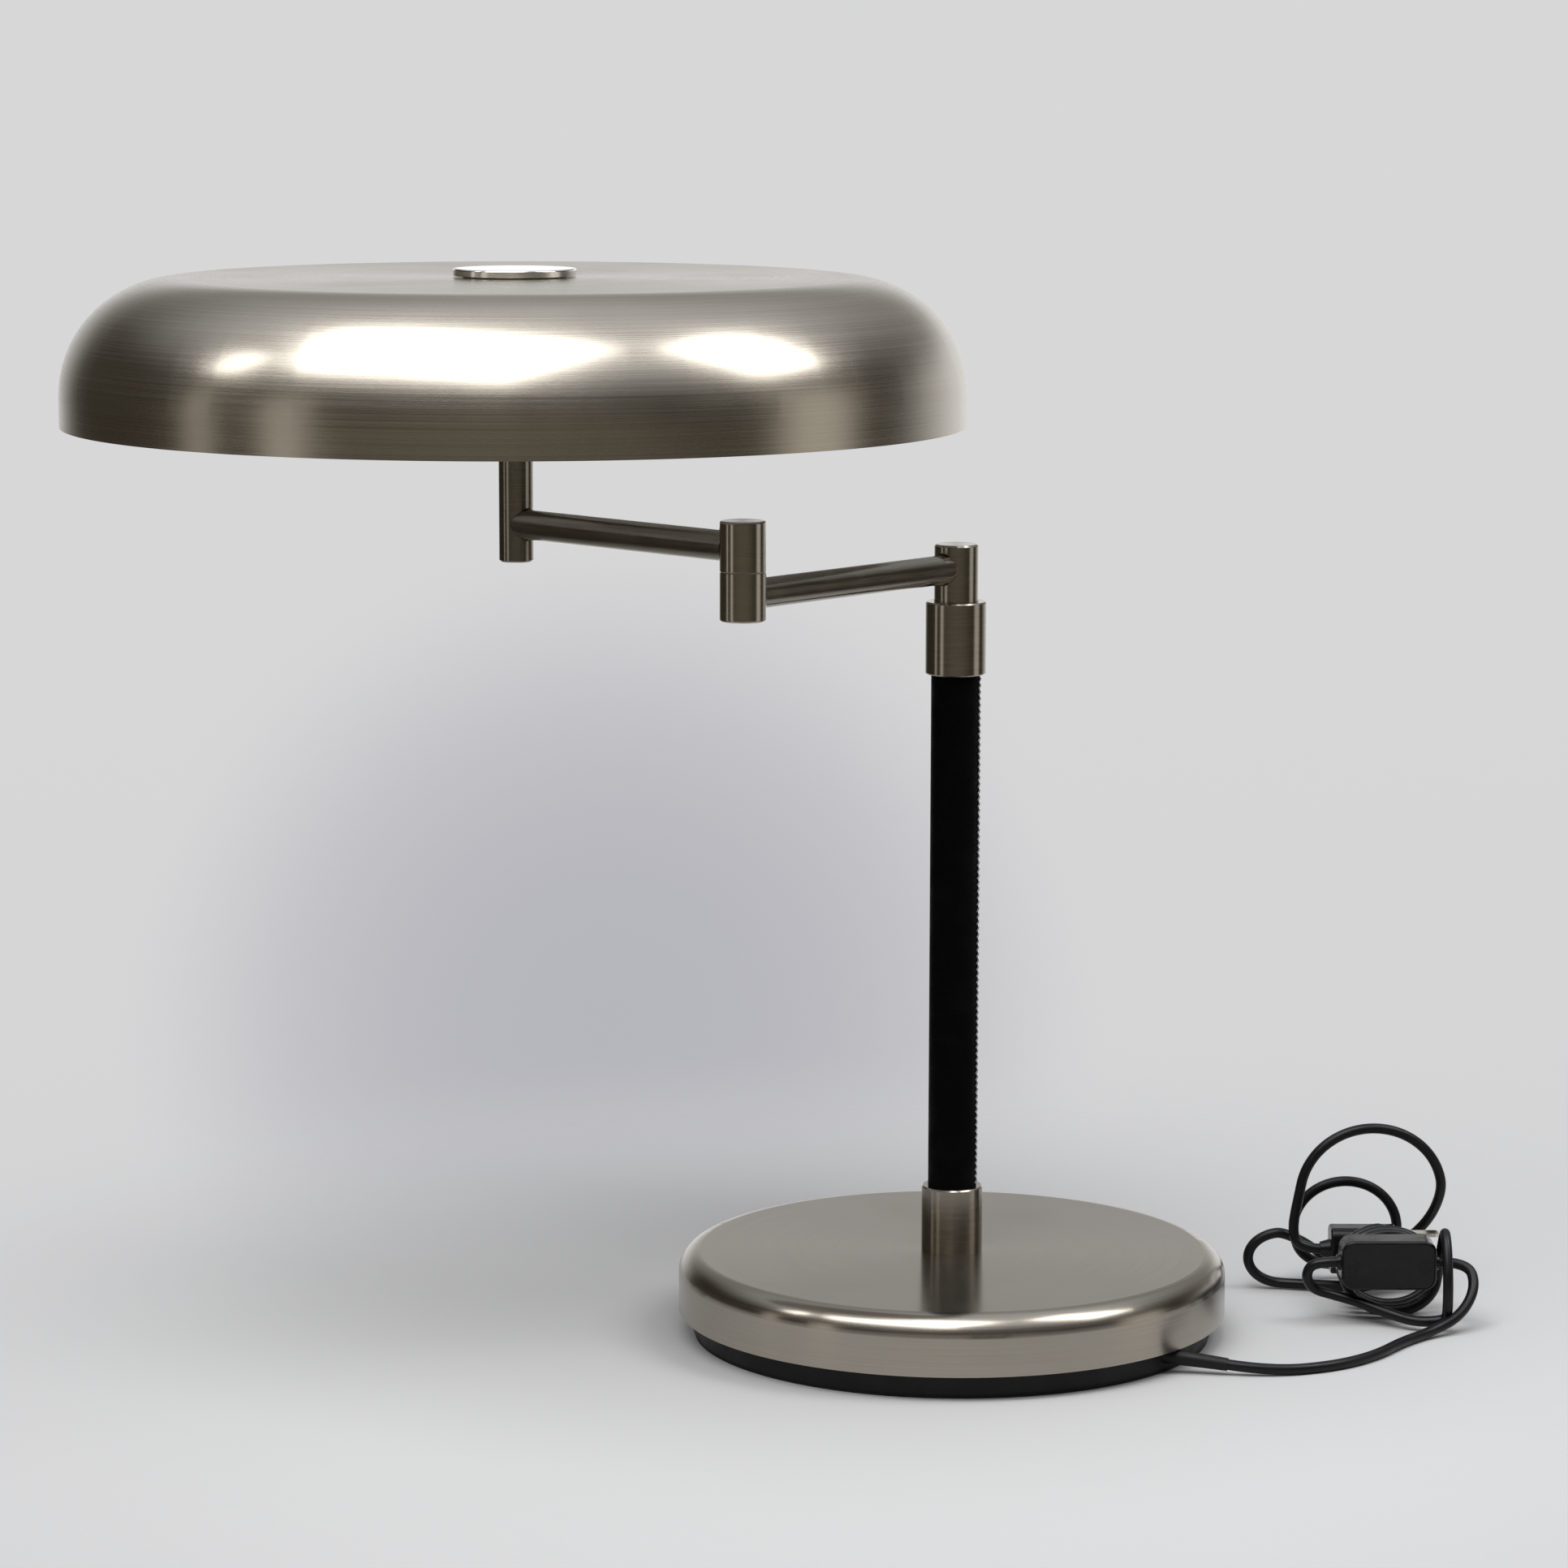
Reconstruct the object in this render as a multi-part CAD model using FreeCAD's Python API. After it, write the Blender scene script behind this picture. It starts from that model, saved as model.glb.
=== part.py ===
"""Desk lamp with a shallow dome shade on a two-part swing arm. Millimetres, +Z up.

The origin is the centre of the round base, on the surface that the lamp stands on.
The arm is drawn part way folded: the lower arm points left and forward (-X, -Y), and the
upper arm comes back from the elbow to the shade's stem. The mains cord leaves the base at
the right and lies beside it, gathered in a loose hank with its switch and plug.
"""
import math
import os

import FreeCAD
import Part

V = FreeCAD.Vector
UP = V(0, 0, 1)
ORIGIN = V(0, 0, 0)

# ---------------------------------------------------------------- driving dimensions
# Clearances
fit = 0.05                   # radial, between a pin or tube and the hole that holds it
running_fit = 0.06           # radial, where one turns in the other
face_gap = 0.1               # between flat faces that slide on each other

# Base
base_radius = 108.5
base_edge_z = 9.8            # lower edge of the steel cover
base_height = 23.3           # of the steel cover
base_edge_fillet = 8.4
cover_wall = 1.5
tray_radius = 102.7          # black tray under the cover
tray_wall = 2.4
tray_floor = 1.4
tray_rise = 5.2              # how far the tray's wall reaches up inside the cover
pad_height = 1.6             # rubber disc that the lamp stands on
pad_inset = 0.5
weight_radius = 98.0
weight_height = 14.6
weight_chamfer = 3.0
pocket_radius = 42.0         # wiring pocket in the underside of the weight
pocket_depth = 9.0
boss_circle_radius = 70.0
boss_radius = 6.0
boss_count = 3
boss_first_angle = 60.0
plate_screw_radius = 2.0
plate_screw_grip = 7.0       # length of screw in the weight
plate_screw_room = 1.0       # hole left past the screw's end
plate_screw_head_radius = 3.8
plate_screw_head_height = 2.2
plate_screw_head_room = 0.2  # round the head, in its countersink

# Column
column_radius = 8.0
column_wall = 1.5
column_below_nut = 1.5
column_nut_flats = 24.0
column_nut_height = 5.0
column_washer_radius = 17.0
column_washer_height = 1.5
leather_thickness = 1.5
leather_length = 204.4       # the part of the sleeve that shows
leather_tuck = 4.0           # how far the sleeve goes into each collar
bottom_collar_radius = 12.1
bottom_collar_height = 26.2
top_collar_radius = 12.0
top_collar_height = 28.5
collar_chamfer = 0.5

# Swivel at the top of the column
post_radius = 8.7
post_height = 22.4           # above the top collar
post_seat_depth = 5.9        # how far the post sits in the top collar
post_chamfer = 0.7
spigot_radius = 5.5
spigot_bore_radius = 3.2
bush_length = 21.0
bush_flange = 2.0
thrust_washer_height = 1.2
ring_height = 1.2
ring_side_gap = 0.4
ring_groove_depth = 0.7
ring_opening = 4.0
spigot_tail = 2.6            # spigot below its retaining ring

# Swing arm
arm_radius = 5.8
arm_wall = 1.1
arm_length = 127.5           # from axis to axis, both arms
arm_seat = 2.0               # from a post's or stem's axis to the end of the tube in it
lower_arm_heading = 229.75   # degrees from +X
upper_arm_heading = 134.1
lower_arm_below_post_top = 9.45
bored_hole_chamfer = 0.6

# Elbow
barrel_radius = 8.75
lower_barrel_height = 18.2
upper_barrel_height = 18.6
barrel_below_arm = 9.56      # lower barrel's foot below the lower arm's axis
upper_arm_below_middle = 0.85
barrel_wall = 1.85
barrel_floor = 3.0
cap_height = 1.3
cap_spigot = 2.5
cap_spigot_wall = 1.5
cap_fillet = 0.9
elbow_washer_height = 0.5
elbow_washer_inset = 0.45
pivot_radius = 4.0
pivot_bore_radius = 2.3
pivot_head_radius = 6.0
pivot_head_height = 1.8
spring_washer_height = 1.0
spring_washer_radius = 6.1
elbow_nut_height = 3.0
elbow_nut_flats = 10.6
pivot_tail = 0.8

# Stem and shade
stem_radius = 6.74
stem_below_arm = 14.66
stem_above_arm = 75.3
stem_chamfer = 0.6
shade_radius = 175.0
shade_height = 56.4
shade_shoulder_radius = 45.2
shade_wall = 1.0
shade_hem_height = 5.0
shade_above_arm = 38.96      # rim above the upper arm's axis
nipple_radius = 5.0
nipple_bore_radius = 3.3
nipple_in_stem = 6.0
seat_nut_height = 4.0
seat_nut_flats = 14.0
seat_washer_radius = 17.0
seat_washer_height = 1.2
finial_radius = 23.8
finial_height = 2.7
finial_fillet = 0.7
finial_washer_radius = 20.0
finial_washer_height = 0.6
finial_bore_room = 0.3       # past the nipple's end

# Lamp holders and bulbs
bracket_half_length = 14.0
bracket_width = 22.0
bracket_thickness = 2.0
bracket_drop = 24.0
bracket_nut_height = 3.0
holder_nipple_radius = 5.0
holder_nipple_bore_radius = 3.4
holder_nipple_length = 10.0
holder_nut_height = 2.6
holder_nut_flats = 13.0
holder_back_radius = 10.0
holder_back_length = 12.0
holder_radius = 13.5
holder_length = 50.0
holder_bore_radius = 7.4
bulb_cap_radius = 6.9
bulb_cap_length = 26.0
bulb_cap_gap = 1.0
bulb_length = 78.0
bulb_radius = 22.5
bulb_flare_radius = 14.0     # where the neck's cone meets the ball
bulb_glass = 0.8

# Leads inside the lamp
lead_radius = 2.0
lead_bend = 4.6
lead_room = 0.8              # round a lead in its bore
lead_cut = 0.3               # from a lead's cut end to the piece that turns past it
holder_lead_radius = 1.3
holder_lead_reach = 4.0      # how far a holder's lead goes into the holder

# Inner end of the mains cord
terminal_length = 20.0
terminal_width = 15.0
terminal_height = 10.0
terminal_pitch = 9.0
terminal_screw_depth = 6.0
inner_heading = -33.0        # of the cord between the terminals and the wall, from +X
inner_bend_inset = 12.0      # from the tray's wall back to the bend
inner_bend = 14.0
clamp_from_bend = 20.0
terminal_from_bend = 42.0
clamp_length = 20.0
clamp_width = 8.0
clamp_thickness = 1.6
clamp_screw_pitch = 14.0
clamp_post_radius = 3.0
clamp_rib_length = 4.0       # rib under the cord, along it
clamp_rib_width = 5.0
column_lead_turn = 8.0       # from the terminals to its first bend
column_lead_bend = 10.0
small_screw_radius = 1.5
small_screw_head_radius = 2.6
small_screw_head_height = 1.6

# Mains cord: a flat two-core flex, drawn round
cord_radius = 2.1
cord_arc_share = 0.45        # of the shorter run beside a bend
cord_first_run = 18.0        # straight on from the gland, down to the table
cord_points = [              # then along the table and up to the switch
    V(147.0, -61.5, 2.15),
    V(164.5, -45.5, 2.15),
    V(176.5, -26.0, 2.15),
    V(189.0, -12.0, 2.3),
    V(202.5, -5.0, 7.2),
    V(209.5, 4.0, 16.5),
    V(207.5, 12.0, 25.0),
]

# The rest of the cord, gathered behind and round the switch in a loose hank
hank_end_run = 2 * cord_radius           # straight, at the switch and at the plug
hank_fold = [                # back under the switch, to the first loop
    V(144.6, 13.2, 19.0),
    V(150.4, 16.5, 12.6),
    V(164.0, 12.0, 8.6),
    V(177.5, 4.5, 4.6),
    V(187.0, -1.0, 4.4),
]
wrap_foot = V(197.2, 2.0, 3.4)           # half a turn over the switch's right end
wrap_top = V(197.2, 9.5, 38.5)
wrap_half_width = 10.6
turns_foot = V(178.0, 17.5, 2.4)         # turns side by side behind the switch
turns_top = V(178.0, 33.0, 31.0)
turns_half_width = 19.0
turns_foot_step = V(0, 6.6, 0)           # from one turn to the next
turns_top_step = V(0, 5.0, 0)
turns_quarters = 11
hank_low_run = [V(174.5, 47.6, 5.6), V(158.0, 61.6, 3.4)]
left_loop_foot = V(138.5, 67.0, 2.4)
left_loop_top = V(138.5, 67.5, 23.8)
left_loop_half_width = 14.4
left_loop_top_step = V(0, 0.5, 0)
hank_drop = [V(151.0, 70.0, 17.0)]
middle_loop_foot = V(165.2, 78.0, 3.2)
middle_loop_top = V(165.2, 78.0, 43.2)
middle_loop_half_width = 21.8
hank_rise = [V(160.0, 84.0, 4.8), V(184.0, 84.0, 11.0)]
big_loop_foot = V(174.6, 74.0, 11.5)
big_loop_top = V(174.6, 74.0, 67.6)
big_loop_half_width = 30.2
big_loop_step = V(0, -20.0, 0)
hank_last = [V(142.6, 61.8, 24.5)]
gap_step = 1.0               # spacing of the points at which the hank's gap to itself is measured
gap_skip = 12.0              # length of cord beside a point that is left out of it

# Strain relief
gland_exit_angle = -38.0     # where the cord leaves the tray, seen from the column
gland_heading = -10.0        # direction in which it leaves
gland_dip = 6.0              # degrees below level
gland_height = 6.6
gland_neck_radius = 3.1
gland_flange_radius = 3.6
gland_flange_height = 2.0
gland_tip_radius = 2.5
gland_length = 24.0
gland_inside = 5.2           # from the wall's outside to the flange

# Switch on the cord, lying on its side with its rocker to the back
switch_place = V(175.0, 12.0, 25.0)
switch_length = 38.0
switch_width = 20.0          # upright here
switch_depth = 14.0          # front to back here
switch_wall = 1.6
switch_corner = 5.0
switch_edge = 1.2
switch_nose_radius = 3.7
switch_nose_tip_radius = 2.9
switch_nose_length = 1.5
switch_screw_pitch = 29.0
switch_screw_reach = 4.6     # past the joint between the halves
switch_post_radius = 3.4
switch_contact_place = 6.0   # from the middle
switch_contact_width = 4.0
switch_contact_sheet = 0.8
rocker_radius = 9.0
rocker_width = 9.6
rocker_room = 0.25           # at its ends and sides
rocker_pivot_depth = 2.6     # pivot below the cover's outside
rocker_rise = 3.0            # middle of the rocker above its pivot
rocker_below_pivot = 2.4
rocker_travel = 14.0         # degrees from one end pressed to the other
rocker_axle_radius = 1.3
rocker_axle_length = 1.5
rocker_lug_half_length = 3.0
rocker_lug_thickness = 2.2

# Plug with two flat blades
plug_place = V(170.5, 60.0, 18.7)
plug_length = 27.0
plug_width = 15.0            # front to back here
plug_height = 19.0
plug_corner = 4.0
plug_edge = 1.0
plug_nose_length = 4.0
plug_nose_radius = 4.4
plug_nose_tip_radius = 2.9
blade_pitch = 12.7
blade_width = 6.3
blade_thickness = 1.5
blade_length = 17.5
blade_in_body = 10.0
blade_corner = 1.5

# ---------------------------------------------------------------- derived places
base_top_z = base_edge_z + base_height
weight_top_z = base_top_z - cover_wall
weight_foot_z = weight_top_z - weight_height
pocket_top_z = weight_foot_z + pocket_depth
tray_foot_z = pad_height
tray_floor_z = tray_foot_z + tray_floor

column_washer_z = pocket_top_z - column_washer_height
column_nut_z = column_washer_z - column_nut_height
column_foot_z = column_nut_z - column_below_nut
column_bore_radius = column_radius - column_wall
leather_radius = column_radius + fit + leather_thickness
leather_foot_z = base_top_z + bottom_collar_height
leather_top_z = leather_foot_z + leather_length
collar_top_z = leather_top_z + top_collar_height

post_foot_z = collar_top_z - post_seat_depth
thrust_washer_z = post_foot_z - face_gap - thrust_washer_height
bush_top_z = thrust_washer_z
column_top_z = bush_top_z - bush_flange
bush_foot_z = column_top_z - bush_length
ring_top_z = bush_foot_z - face_gap
spigot_foot_z = ring_top_z - ring_height - spigot_tail
post_top_z = collar_top_z + post_height
lower_arm_z = post_top_z - lower_arm_below_post_top

barrel_bore_radius = barrel_radius - barrel_wall
elbow_foot_z = lower_arm_z - barrel_below_arm
lower_barrel_top_z = elbow_foot_z + lower_barrel_height
elbow_washer_z = lower_barrel_top_z + face_gap / 2
upper_barrel_foot_z = elbow_washer_z + elbow_washer_height + face_gap / 2
elbow_top_z = upper_barrel_foot_z + upper_barrel_height
upper_arm_z = upper_barrel_foot_z + upper_barrel_height / 2 - upper_arm_below_middle


def heading(angle):
    """Level unit vector, at this many degrees from +X."""
    return V(math.cos(math.radians(angle)), math.sin(math.radians(angle)), 0)


elbow = heading(lower_arm_heading) * arm_length
stem = elbow + heading(upper_arm_heading) * arm_length

stem_foot_z = upper_arm_z - stem_below_arm
stem_top_z = upper_arm_z + stem_above_arm
rim_z = upper_arm_z + shade_above_arm
shade_top_z = rim_z + shade_height
bracket_top_z = stem_top_z + bracket_thickness
holder_z = bracket_top_z - bracket_drop / 2
holder_bore_depth = bulb_cap_gap + bulb_cap_length
seat_washer_z = shade_top_z - shade_wall - seat_washer_height
seat_nut_z = seat_washer_z - seat_nut_height
finial_z = shade_top_z + finial_washer_height
nipple_top_z = finial_z + finial_height / 2

gland_axis = (heading(gland_heading) - UP * math.tan(math.radians(gland_dip))).normalize()
gland_mouth = heading(gland_exit_angle) * tray_radius + UP * gland_height
gland_foot = gland_mouth - gland_axis * gland_inside
gland_tip = gland_mouth + gland_axis * gland_length
inner_corner = gland_mouth - gland_axis * inner_bend_inset
inner_axis = heading(inner_heading)
inner_side = heading(inner_heading + 90)
clamp_centre = inner_corner - inner_axis * clamp_from_bend
clamp_z = inner_corner.z + cord_radius + fit
terminal_face = inner_corner - inner_axis * terminal_from_bend

plug_cord_end = plug_place - V(plug_length / 2 + plug_nose_length, 0, 0)
switch_reach = switch_length / 2 + switch_nose_length
switch_cord_in = switch_place + V(switch_reach, 0, 0)
switch_cord_out = switch_place - V(switch_reach, 0, 0)


# ---------------------------------------------------------------- shapes
def at(centre, z):
    """The point above centre at height z."""
    return V(centre.x, centre.y, z)


def rod(centre, z0, z1, radius):
    """Upright cylinder from z0 to z1."""
    return Part.makeCylinder(radius, z1 - z0, at(centre, z0), UP)


def pipe(centre, z0, z1, outer, inner):
    """Upright tube from z0 to z1."""
    return rod(centre, z0, z1, outer).cut(rod(centre, z0, z1, inner))


def beam(start, direction, length, radius):
    """Cylinder from a point along a direction."""
    return Part.makeCylinder(radius, length, start, direction)


def tube_beam(start, direction, length, outer, inner):
    """Tube from a point along a direction."""
    return beam(start, direction, length, outer).cut(beam(start, direction, length, inner))


def turned(points, centre=ORIGIN):
    """Solid of revolution about an upright axis, from (radius, height) corners."""
    corners = [V(r, 0, z) for r, z in points]
    face = Part.Face(Part.makePolygon(corners + corners[:1]))
    solid = face.revolve(ORIGIN, UP, 360)
    solid.translate(V(centre.x, centre.y, 0))
    return solid


def hexagon(centre, z0, height, flats, bore):
    """Upright hexagon nut with a round bore."""
    corner = flats / math.sqrt(3)
    ring = [at(centre, z0) + heading(60 * i) * corner for i in range(6)]
    nut = Part.Face(Part.makePolygon(ring + ring[:1])).extrude(V(0, 0, height))
    return nut.cut(rod(centre, z0, z0 + height, bore))


def edges_at(shape, z, radius=None):
    """Round edges that lie level at height z, of this radius if one is given."""
    found = []
    for edge in shape.Edges:
        if not isinstance(edge.Curve, Part.Circle) or abs(edge.BoundBox.ZLength) > 1e-6:
            continue
        if abs(edge.BoundBox.ZMin - z) < 1e-6 and (radius is None or abs(edge.Curve.Radius - radius) < 1e-6):
            found.append(edge)
    return found


def bent_line(points, bends):
    """Straight runs through the points, with a tangent arc of the given radius at each inner one."""
    edges = []
    start = points[0]
    for before, corner, after, radius in zip(points, points[1:], points[2:], bends):
        arrive = (corner - before).normalize()
        leave = (after - corner).normalize()
        half_turn = arrive.getAngle(leave) / 2
        inset = radius * math.tan(half_turn)
        first = corner - arrive * inset
        last = corner + leave * inset
        inward = (leave - arrive).normalize()
        middle = corner + inward * (radius / math.cos(half_turn) - radius)
        if (first - start).Length > 1e-6:
            edges.append(Part.LineSegment(start, first).toShape())
        edges.append(Part.Arc(first, middle, last).toShape())
        start = last
    edges.append(Part.LineSegment(start, points[-1]).toShape())
    return Part.Wire(edges)


def lead(points, bends, radius):
    """Round lead along a bent line."""
    path = bent_line(points, bends)
    section = Part.Wire(Part.makeCircle(radius, points[0], points[1] - points[0]))
    return path.makePipeShell([section], True, False)


nodes = {}


# ---------------------------------------------------------------- base
def cover_profile(inset):
    """Half section of the base cover's outside, moved in by inset."""
    radius = base_radius - inset
    top = base_top_z - inset
    bend = max(base_edge_fillet - inset, 0.5)
    corner = V(radius - bend, 0, top - bend)
    slope = math.sqrt(0.5) * bend
    edges = [
        Part.LineSegment(V(0, 0, base_edge_z), V(radius, 0, base_edge_z)).toShape(),
        Part.LineSegment(V(radius, 0, base_edge_z), V(radius, 0, top - bend)).toShape(),
        Part.Arc(V(radius, 0, top - bend), corner + V(slope, 0, slope), V(radius - bend, 0, top)).toShape(),
        Part.LineSegment(V(radius - bend, 0, top), V(0, 0, top)).toShape(),
        Part.LineSegment(V(0, 0, top), V(0, 0, base_edge_z)).toShape(),
    ]
    return Part.Face(Part.Wire(edges)).revolve(ORIGIN, UP, 360)


def make_base():
    """Cover, weight, tray, rubber ring and the screws that hold the tray."""
    hole = rod(ORIGIN, base_edge_z, base_top_z, column_radius + fit)
    nodes["base_cover"] = cover_profile(0).cut(cover_profile(cover_wall)).cut(hole)

    weight = rod(ORIGIN, weight_foot_z, weight_top_z, weight_radius)
    weight = weight.cut(rod(ORIGIN, weight_foot_z, pocket_top_z, pocket_radius)).cut(hole)
    weight = weight.makeChamfer(weight_chamfer, edges_at(weight, weight_top_z, weight_radius))

    tray_top_z = base_edge_z + tray_rise
    tray = rod(ORIGIN, tray_foot_z, tray_top_z, tray_radius)
    tray = tray.cut(rod(ORIGIN, tray_floor_z, tray_top_z, tray_radius - tray_wall))
    room = plate_screw_head_room
    screws = []
    for i in range(boss_count):
        place = heading(boss_first_angle + 360 * i / boss_count) * boss_circle_radius
        head_z = tray_foot_z + room
        head_top_z = head_z + plate_screw_head_height
        shank_top_z = weight_foot_z + plate_screw_grip
        head = turned([(0, head_z), (plate_screw_head_radius, head_z), (plate_screw_radius, head_top_z),
                       (0, head_top_z)], place)
        screws.append(head.fuse(rod(place, head_z, shank_top_z, plate_screw_radius)).removeSplitter())
        sink = turned([(0, tray_foot_z), (plate_screw_head_radius + room, tray_foot_z),
                       (plate_screw_head_radius + room, head_z), (plate_screw_radius + fit, head_top_z + fit),
                       (0, head_top_z + fit)], place)
        tray = tray.fuse(rod(place, tray_foot_z, weight_foot_z, boss_radius))
        tray = tray.cut(sink).cut(rod(place, tray_foot_z, weight_foot_z, plate_screw_radius + fit))
        weight = weight.cut(rod(place, weight_foot_z, shank_top_z + plate_screw_room, plate_screw_radius + fit))
    for post in clamp_posts():
        tray = tray.fuse(rod(post, tray_foot_z, clamp_z, clamp_post_radius))
        tray = tray.cut(rod(post, tray_floor_z, clamp_z, small_screw_radius + fit))
    rib_height = clamp_z - 2 * (cord_radius + fit) - tray_foot_z
    tray = tray.fuse(inner_block(clamp_centre, clamp_rib_length, clamp_rib_width, tray_foot_z, rib_height))
    tray = tray.cut(beam(gland_foot, gland_axis, gland_inside + gland_neck_radius, gland_neck_radius + fit))
    nodes["base_weight"] = weight
    nodes["base_tray"] = tray.removeSplitter()
    nodes["tray_screws"] = Part.makeCompound(screws)
    nodes["base_pad"] = rod(ORIGIN, 0, pad_height, tray_radius - pad_inset)


def clamp_posts():
    """Places of the two posts beside the cord that carry its clamp."""
    return [clamp_centre + inner_side * (side * clamp_screw_pitch / 2) for side in (-1, 1)]


def inner_block(centre, length, width, foot_z, height):
    """Upright block lined up with the cord inside the base: length along it, width across it."""
    block = Part.makeBox(length, width, height, V(-length / 2, -width / 2, 0))
    block.rotate(ORIGIN, UP, inner_heading)
    block.translate(at(centre, foot_z))
    return block


def make_cord_entry():
    """Gland, the cord's inner end with its clamp, and the terminals where the lamp's lead begins."""
    gland = beam(gland_foot, gland_axis, gland_inside, gland_neck_radius)
    gland = gland.fuse(Part.makeCone(gland_neck_radius, gland_tip_radius, gland_length, gland_mouth, gland_axis))
    flange = beam(gland_foot - gland_axis * gland_flange_height, gland_axis, gland_flange_height,
                  gland_flange_radius)
    whole_length = gland_flange_height + gland_inside + gland_length
    bore = beam(gland_foot - gland_axis * gland_flange_height, gland_axis, whole_length, cord_radius + fit)
    nodes["cord_gland"] = gland.fuse(flange).cut(bore).removeSplitter()
    nodes["base_cord"] = lead([terminal_face, inner_corner, gland_tip], [inner_bend], cord_radius)

    clamp = inner_block(clamp_centre, clamp_width, clamp_length, clamp_z, clamp_thickness)
    head_z = clamp_z + clamp_thickness
    screws = []
    for post in clamp_posts():
        clamp = clamp.cut(rod(post, clamp_z, head_z, small_screw_radius + fit))
        shank = rod(post, tray_floor_z, head_z, small_screw_radius)
        head = rod(post, head_z, head_z + small_screw_head_height, small_screw_head_radius)
        screws.append(shank.fuse(head).removeSplitter())
    nodes["cord_clamp"] = clamp
    nodes["clamp_screws"] = Part.makeCompound(screws)

    centre = terminal_face - inner_axis * (terminal_width / 2)
    block = inner_block(centre, terminal_width, terminal_length, tray_floor_z, terminal_height)
    top_z = tray_floor_z + terminal_height
    screws = []
    for side in (-1, 1):
        place = centre + inner_side * (side * terminal_pitch / 2)
        screw = rod(place, top_z - terminal_screw_depth, top_z, small_screw_radius)
        block = block.cut(rod(place, top_z - terminal_screw_depth, top_z, small_screw_radius + fit))
        screws.append(screw)
    nodes["terminal_block"] = block
    nodes["terminal_screws"] = Part.makeCompound(screws)
    start = terminal_face - inner_axis * terminal_width
    points = [
        start,
        start - inner_axis * column_lead_turn,
        at(ORIGIN, inner_corner.z),
        at(ORIGIN, spigot_foot_z - lead_cut),
    ]
    nodes["column_lead"] = lead(points, [column_lead_bend, lead_bend], lead_radius)


# ---------------------------------------------------------------- column
def make_column():
    """Threaded tube with its nut and washer, the leather sleeve and the two collars."""
    nodes["column_tube"] = pipe(ORIGIN, column_foot_z, column_top_z, column_radius, column_bore_radius)
    nodes["column_washer"] = pipe(ORIGIN, column_washer_z, pocket_top_z, column_washer_radius,
                                  column_radius + fit)
    nodes["column_nut"] = hexagon(ORIGIN, column_nut_z, column_nut_height, column_nut_flats,
                                  column_radius + fit)
    nodes["leather_sleeve"] = pipe(ORIGIN, leather_foot_z - leather_tuck, leather_top_z + leather_tuck,
                                   leather_radius, column_radius + fit)

    socket_radius = leather_radius + fit
    collar = pipe(ORIGIN, base_top_z, leather_foot_z, bottom_collar_radius, column_radius + fit)
    collar = collar.cut(rod(ORIGIN, leather_foot_z - leather_tuck, leather_foot_z, socket_radius))
    nodes["bottom_collar"] = collar.makeChamfer(
        collar_chamfer, edges_at(collar, leather_foot_z, bottom_collar_radius))

    collar = pipe(ORIGIN, leather_top_z, collar_top_z, top_collar_radius, column_radius + fit)
    collar = collar.cut(rod(ORIGIN, leather_top_z, leather_top_z + leather_tuck, socket_radius))
    collar = collar.cut(rod(ORIGIN, column_top_z, collar_top_z, post_radius + running_fit))
    rims = edges_at(collar, collar_top_z, top_collar_radius) + edges_at(collar, leather_top_z, top_collar_radius)
    nodes["top_collar"] = collar.makeChamfer(collar_chamfer, rims)


# ---------------------------------------------------------------- swivel
def make_swivel():
    """Bush and washer in the top collar, and the post that turns in them."""
    bore = spigot_radius + running_fit
    bush = pipe(ORIGIN, bush_foot_z, bush_top_z, column_bore_radius - fit, bore)
    flange = pipe(ORIGIN, column_top_z, bush_top_z, post_radius, bore)
    nodes["swivel_bush"] = bush.fuse(flange).removeSplitter()
    nodes["thrust_washer"] = pipe(ORIGIN, thrust_washer_z, post_foot_z - face_gap, post_radius - fit, bore)

    post = rod(ORIGIN, post_foot_z, post_top_z, post_radius)
    post = post.makeChamfer(post_chamfer, edges_at(post, post_top_z, post_radius))
    post = post.fuse(rod(ORIGIN, spigot_foot_z, post_foot_z, spigot_radius))
    post = post.cut(rod(ORIGIN, spigot_foot_z, lower_arm_z + lead_radius + lead_room, spigot_bore_radius))
    ring_foot_z = ring_top_z - ring_height
    groove_radius = spigot_radius - ring_groove_depth
    post = post.cut(pipe(ORIGIN, ring_foot_z, ring_top_z, spigot_radius, groove_radius))
    post = bored(post, ORIGIN, lower_arm_z, lower_arm_heading, post_radius)
    nodes["swivel_post"] = post.removeSplitter()
    ring = pipe(ORIGIN, ring_foot_z, ring_top_z, column_bore_radius - ring_side_gap, groove_radius)
    slot = Part.makeBox(column_radius, ring_opening, ring_height, V(0, -ring_opening / 2, ring_foot_z))
    nodes["swivel_ring"] = ring.cut(slot)


def bored(solid, centre, z, angle, surface):
    """Side hole for an arm tube, with a small chamfer at its mouth."""
    along = heading(angle)
    hole = beam(at(centre, z) + along * arm_seat, along, surface, arm_radius + fit)
    mouth = Part.makeCone(arm_radius + fit, arm_radius + fit + 2 * bored_hole_chamfer, 2 * bored_hole_chamfer,
                          at(centre, z) + along * (surface - bored_hole_chamfer), along)
    return solid.cut(hole).cut(mouth)


# ---------------------------------------------------------------- arms and elbow
def make_arms():
    """The two arm tubes, each from one side hole to the next."""
    along = heading(lower_arm_heading)
    inner = arm_radius - arm_wall
    length = arm_length - arm_seat - barrel_bore_radius
    nodes["lower_arm"] = tube_beam(at(ORIGIN, lower_arm_z) + along * arm_seat, along, length, arm_radius, inner)
    along = heading(upper_arm_heading)
    start = at(elbow, upper_arm_z) + along * barrel_bore_radius
    nodes["upper_arm"] = tube_beam(start, along, length, arm_radius, inner)


def side_hole(solid, centre, z, angle):
    """Hole in a barrel's wall for an arm tube."""
    return solid.cut(beam(at(centre, z), heading(angle), barrel_radius + 2, arm_radius + fit))


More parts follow.
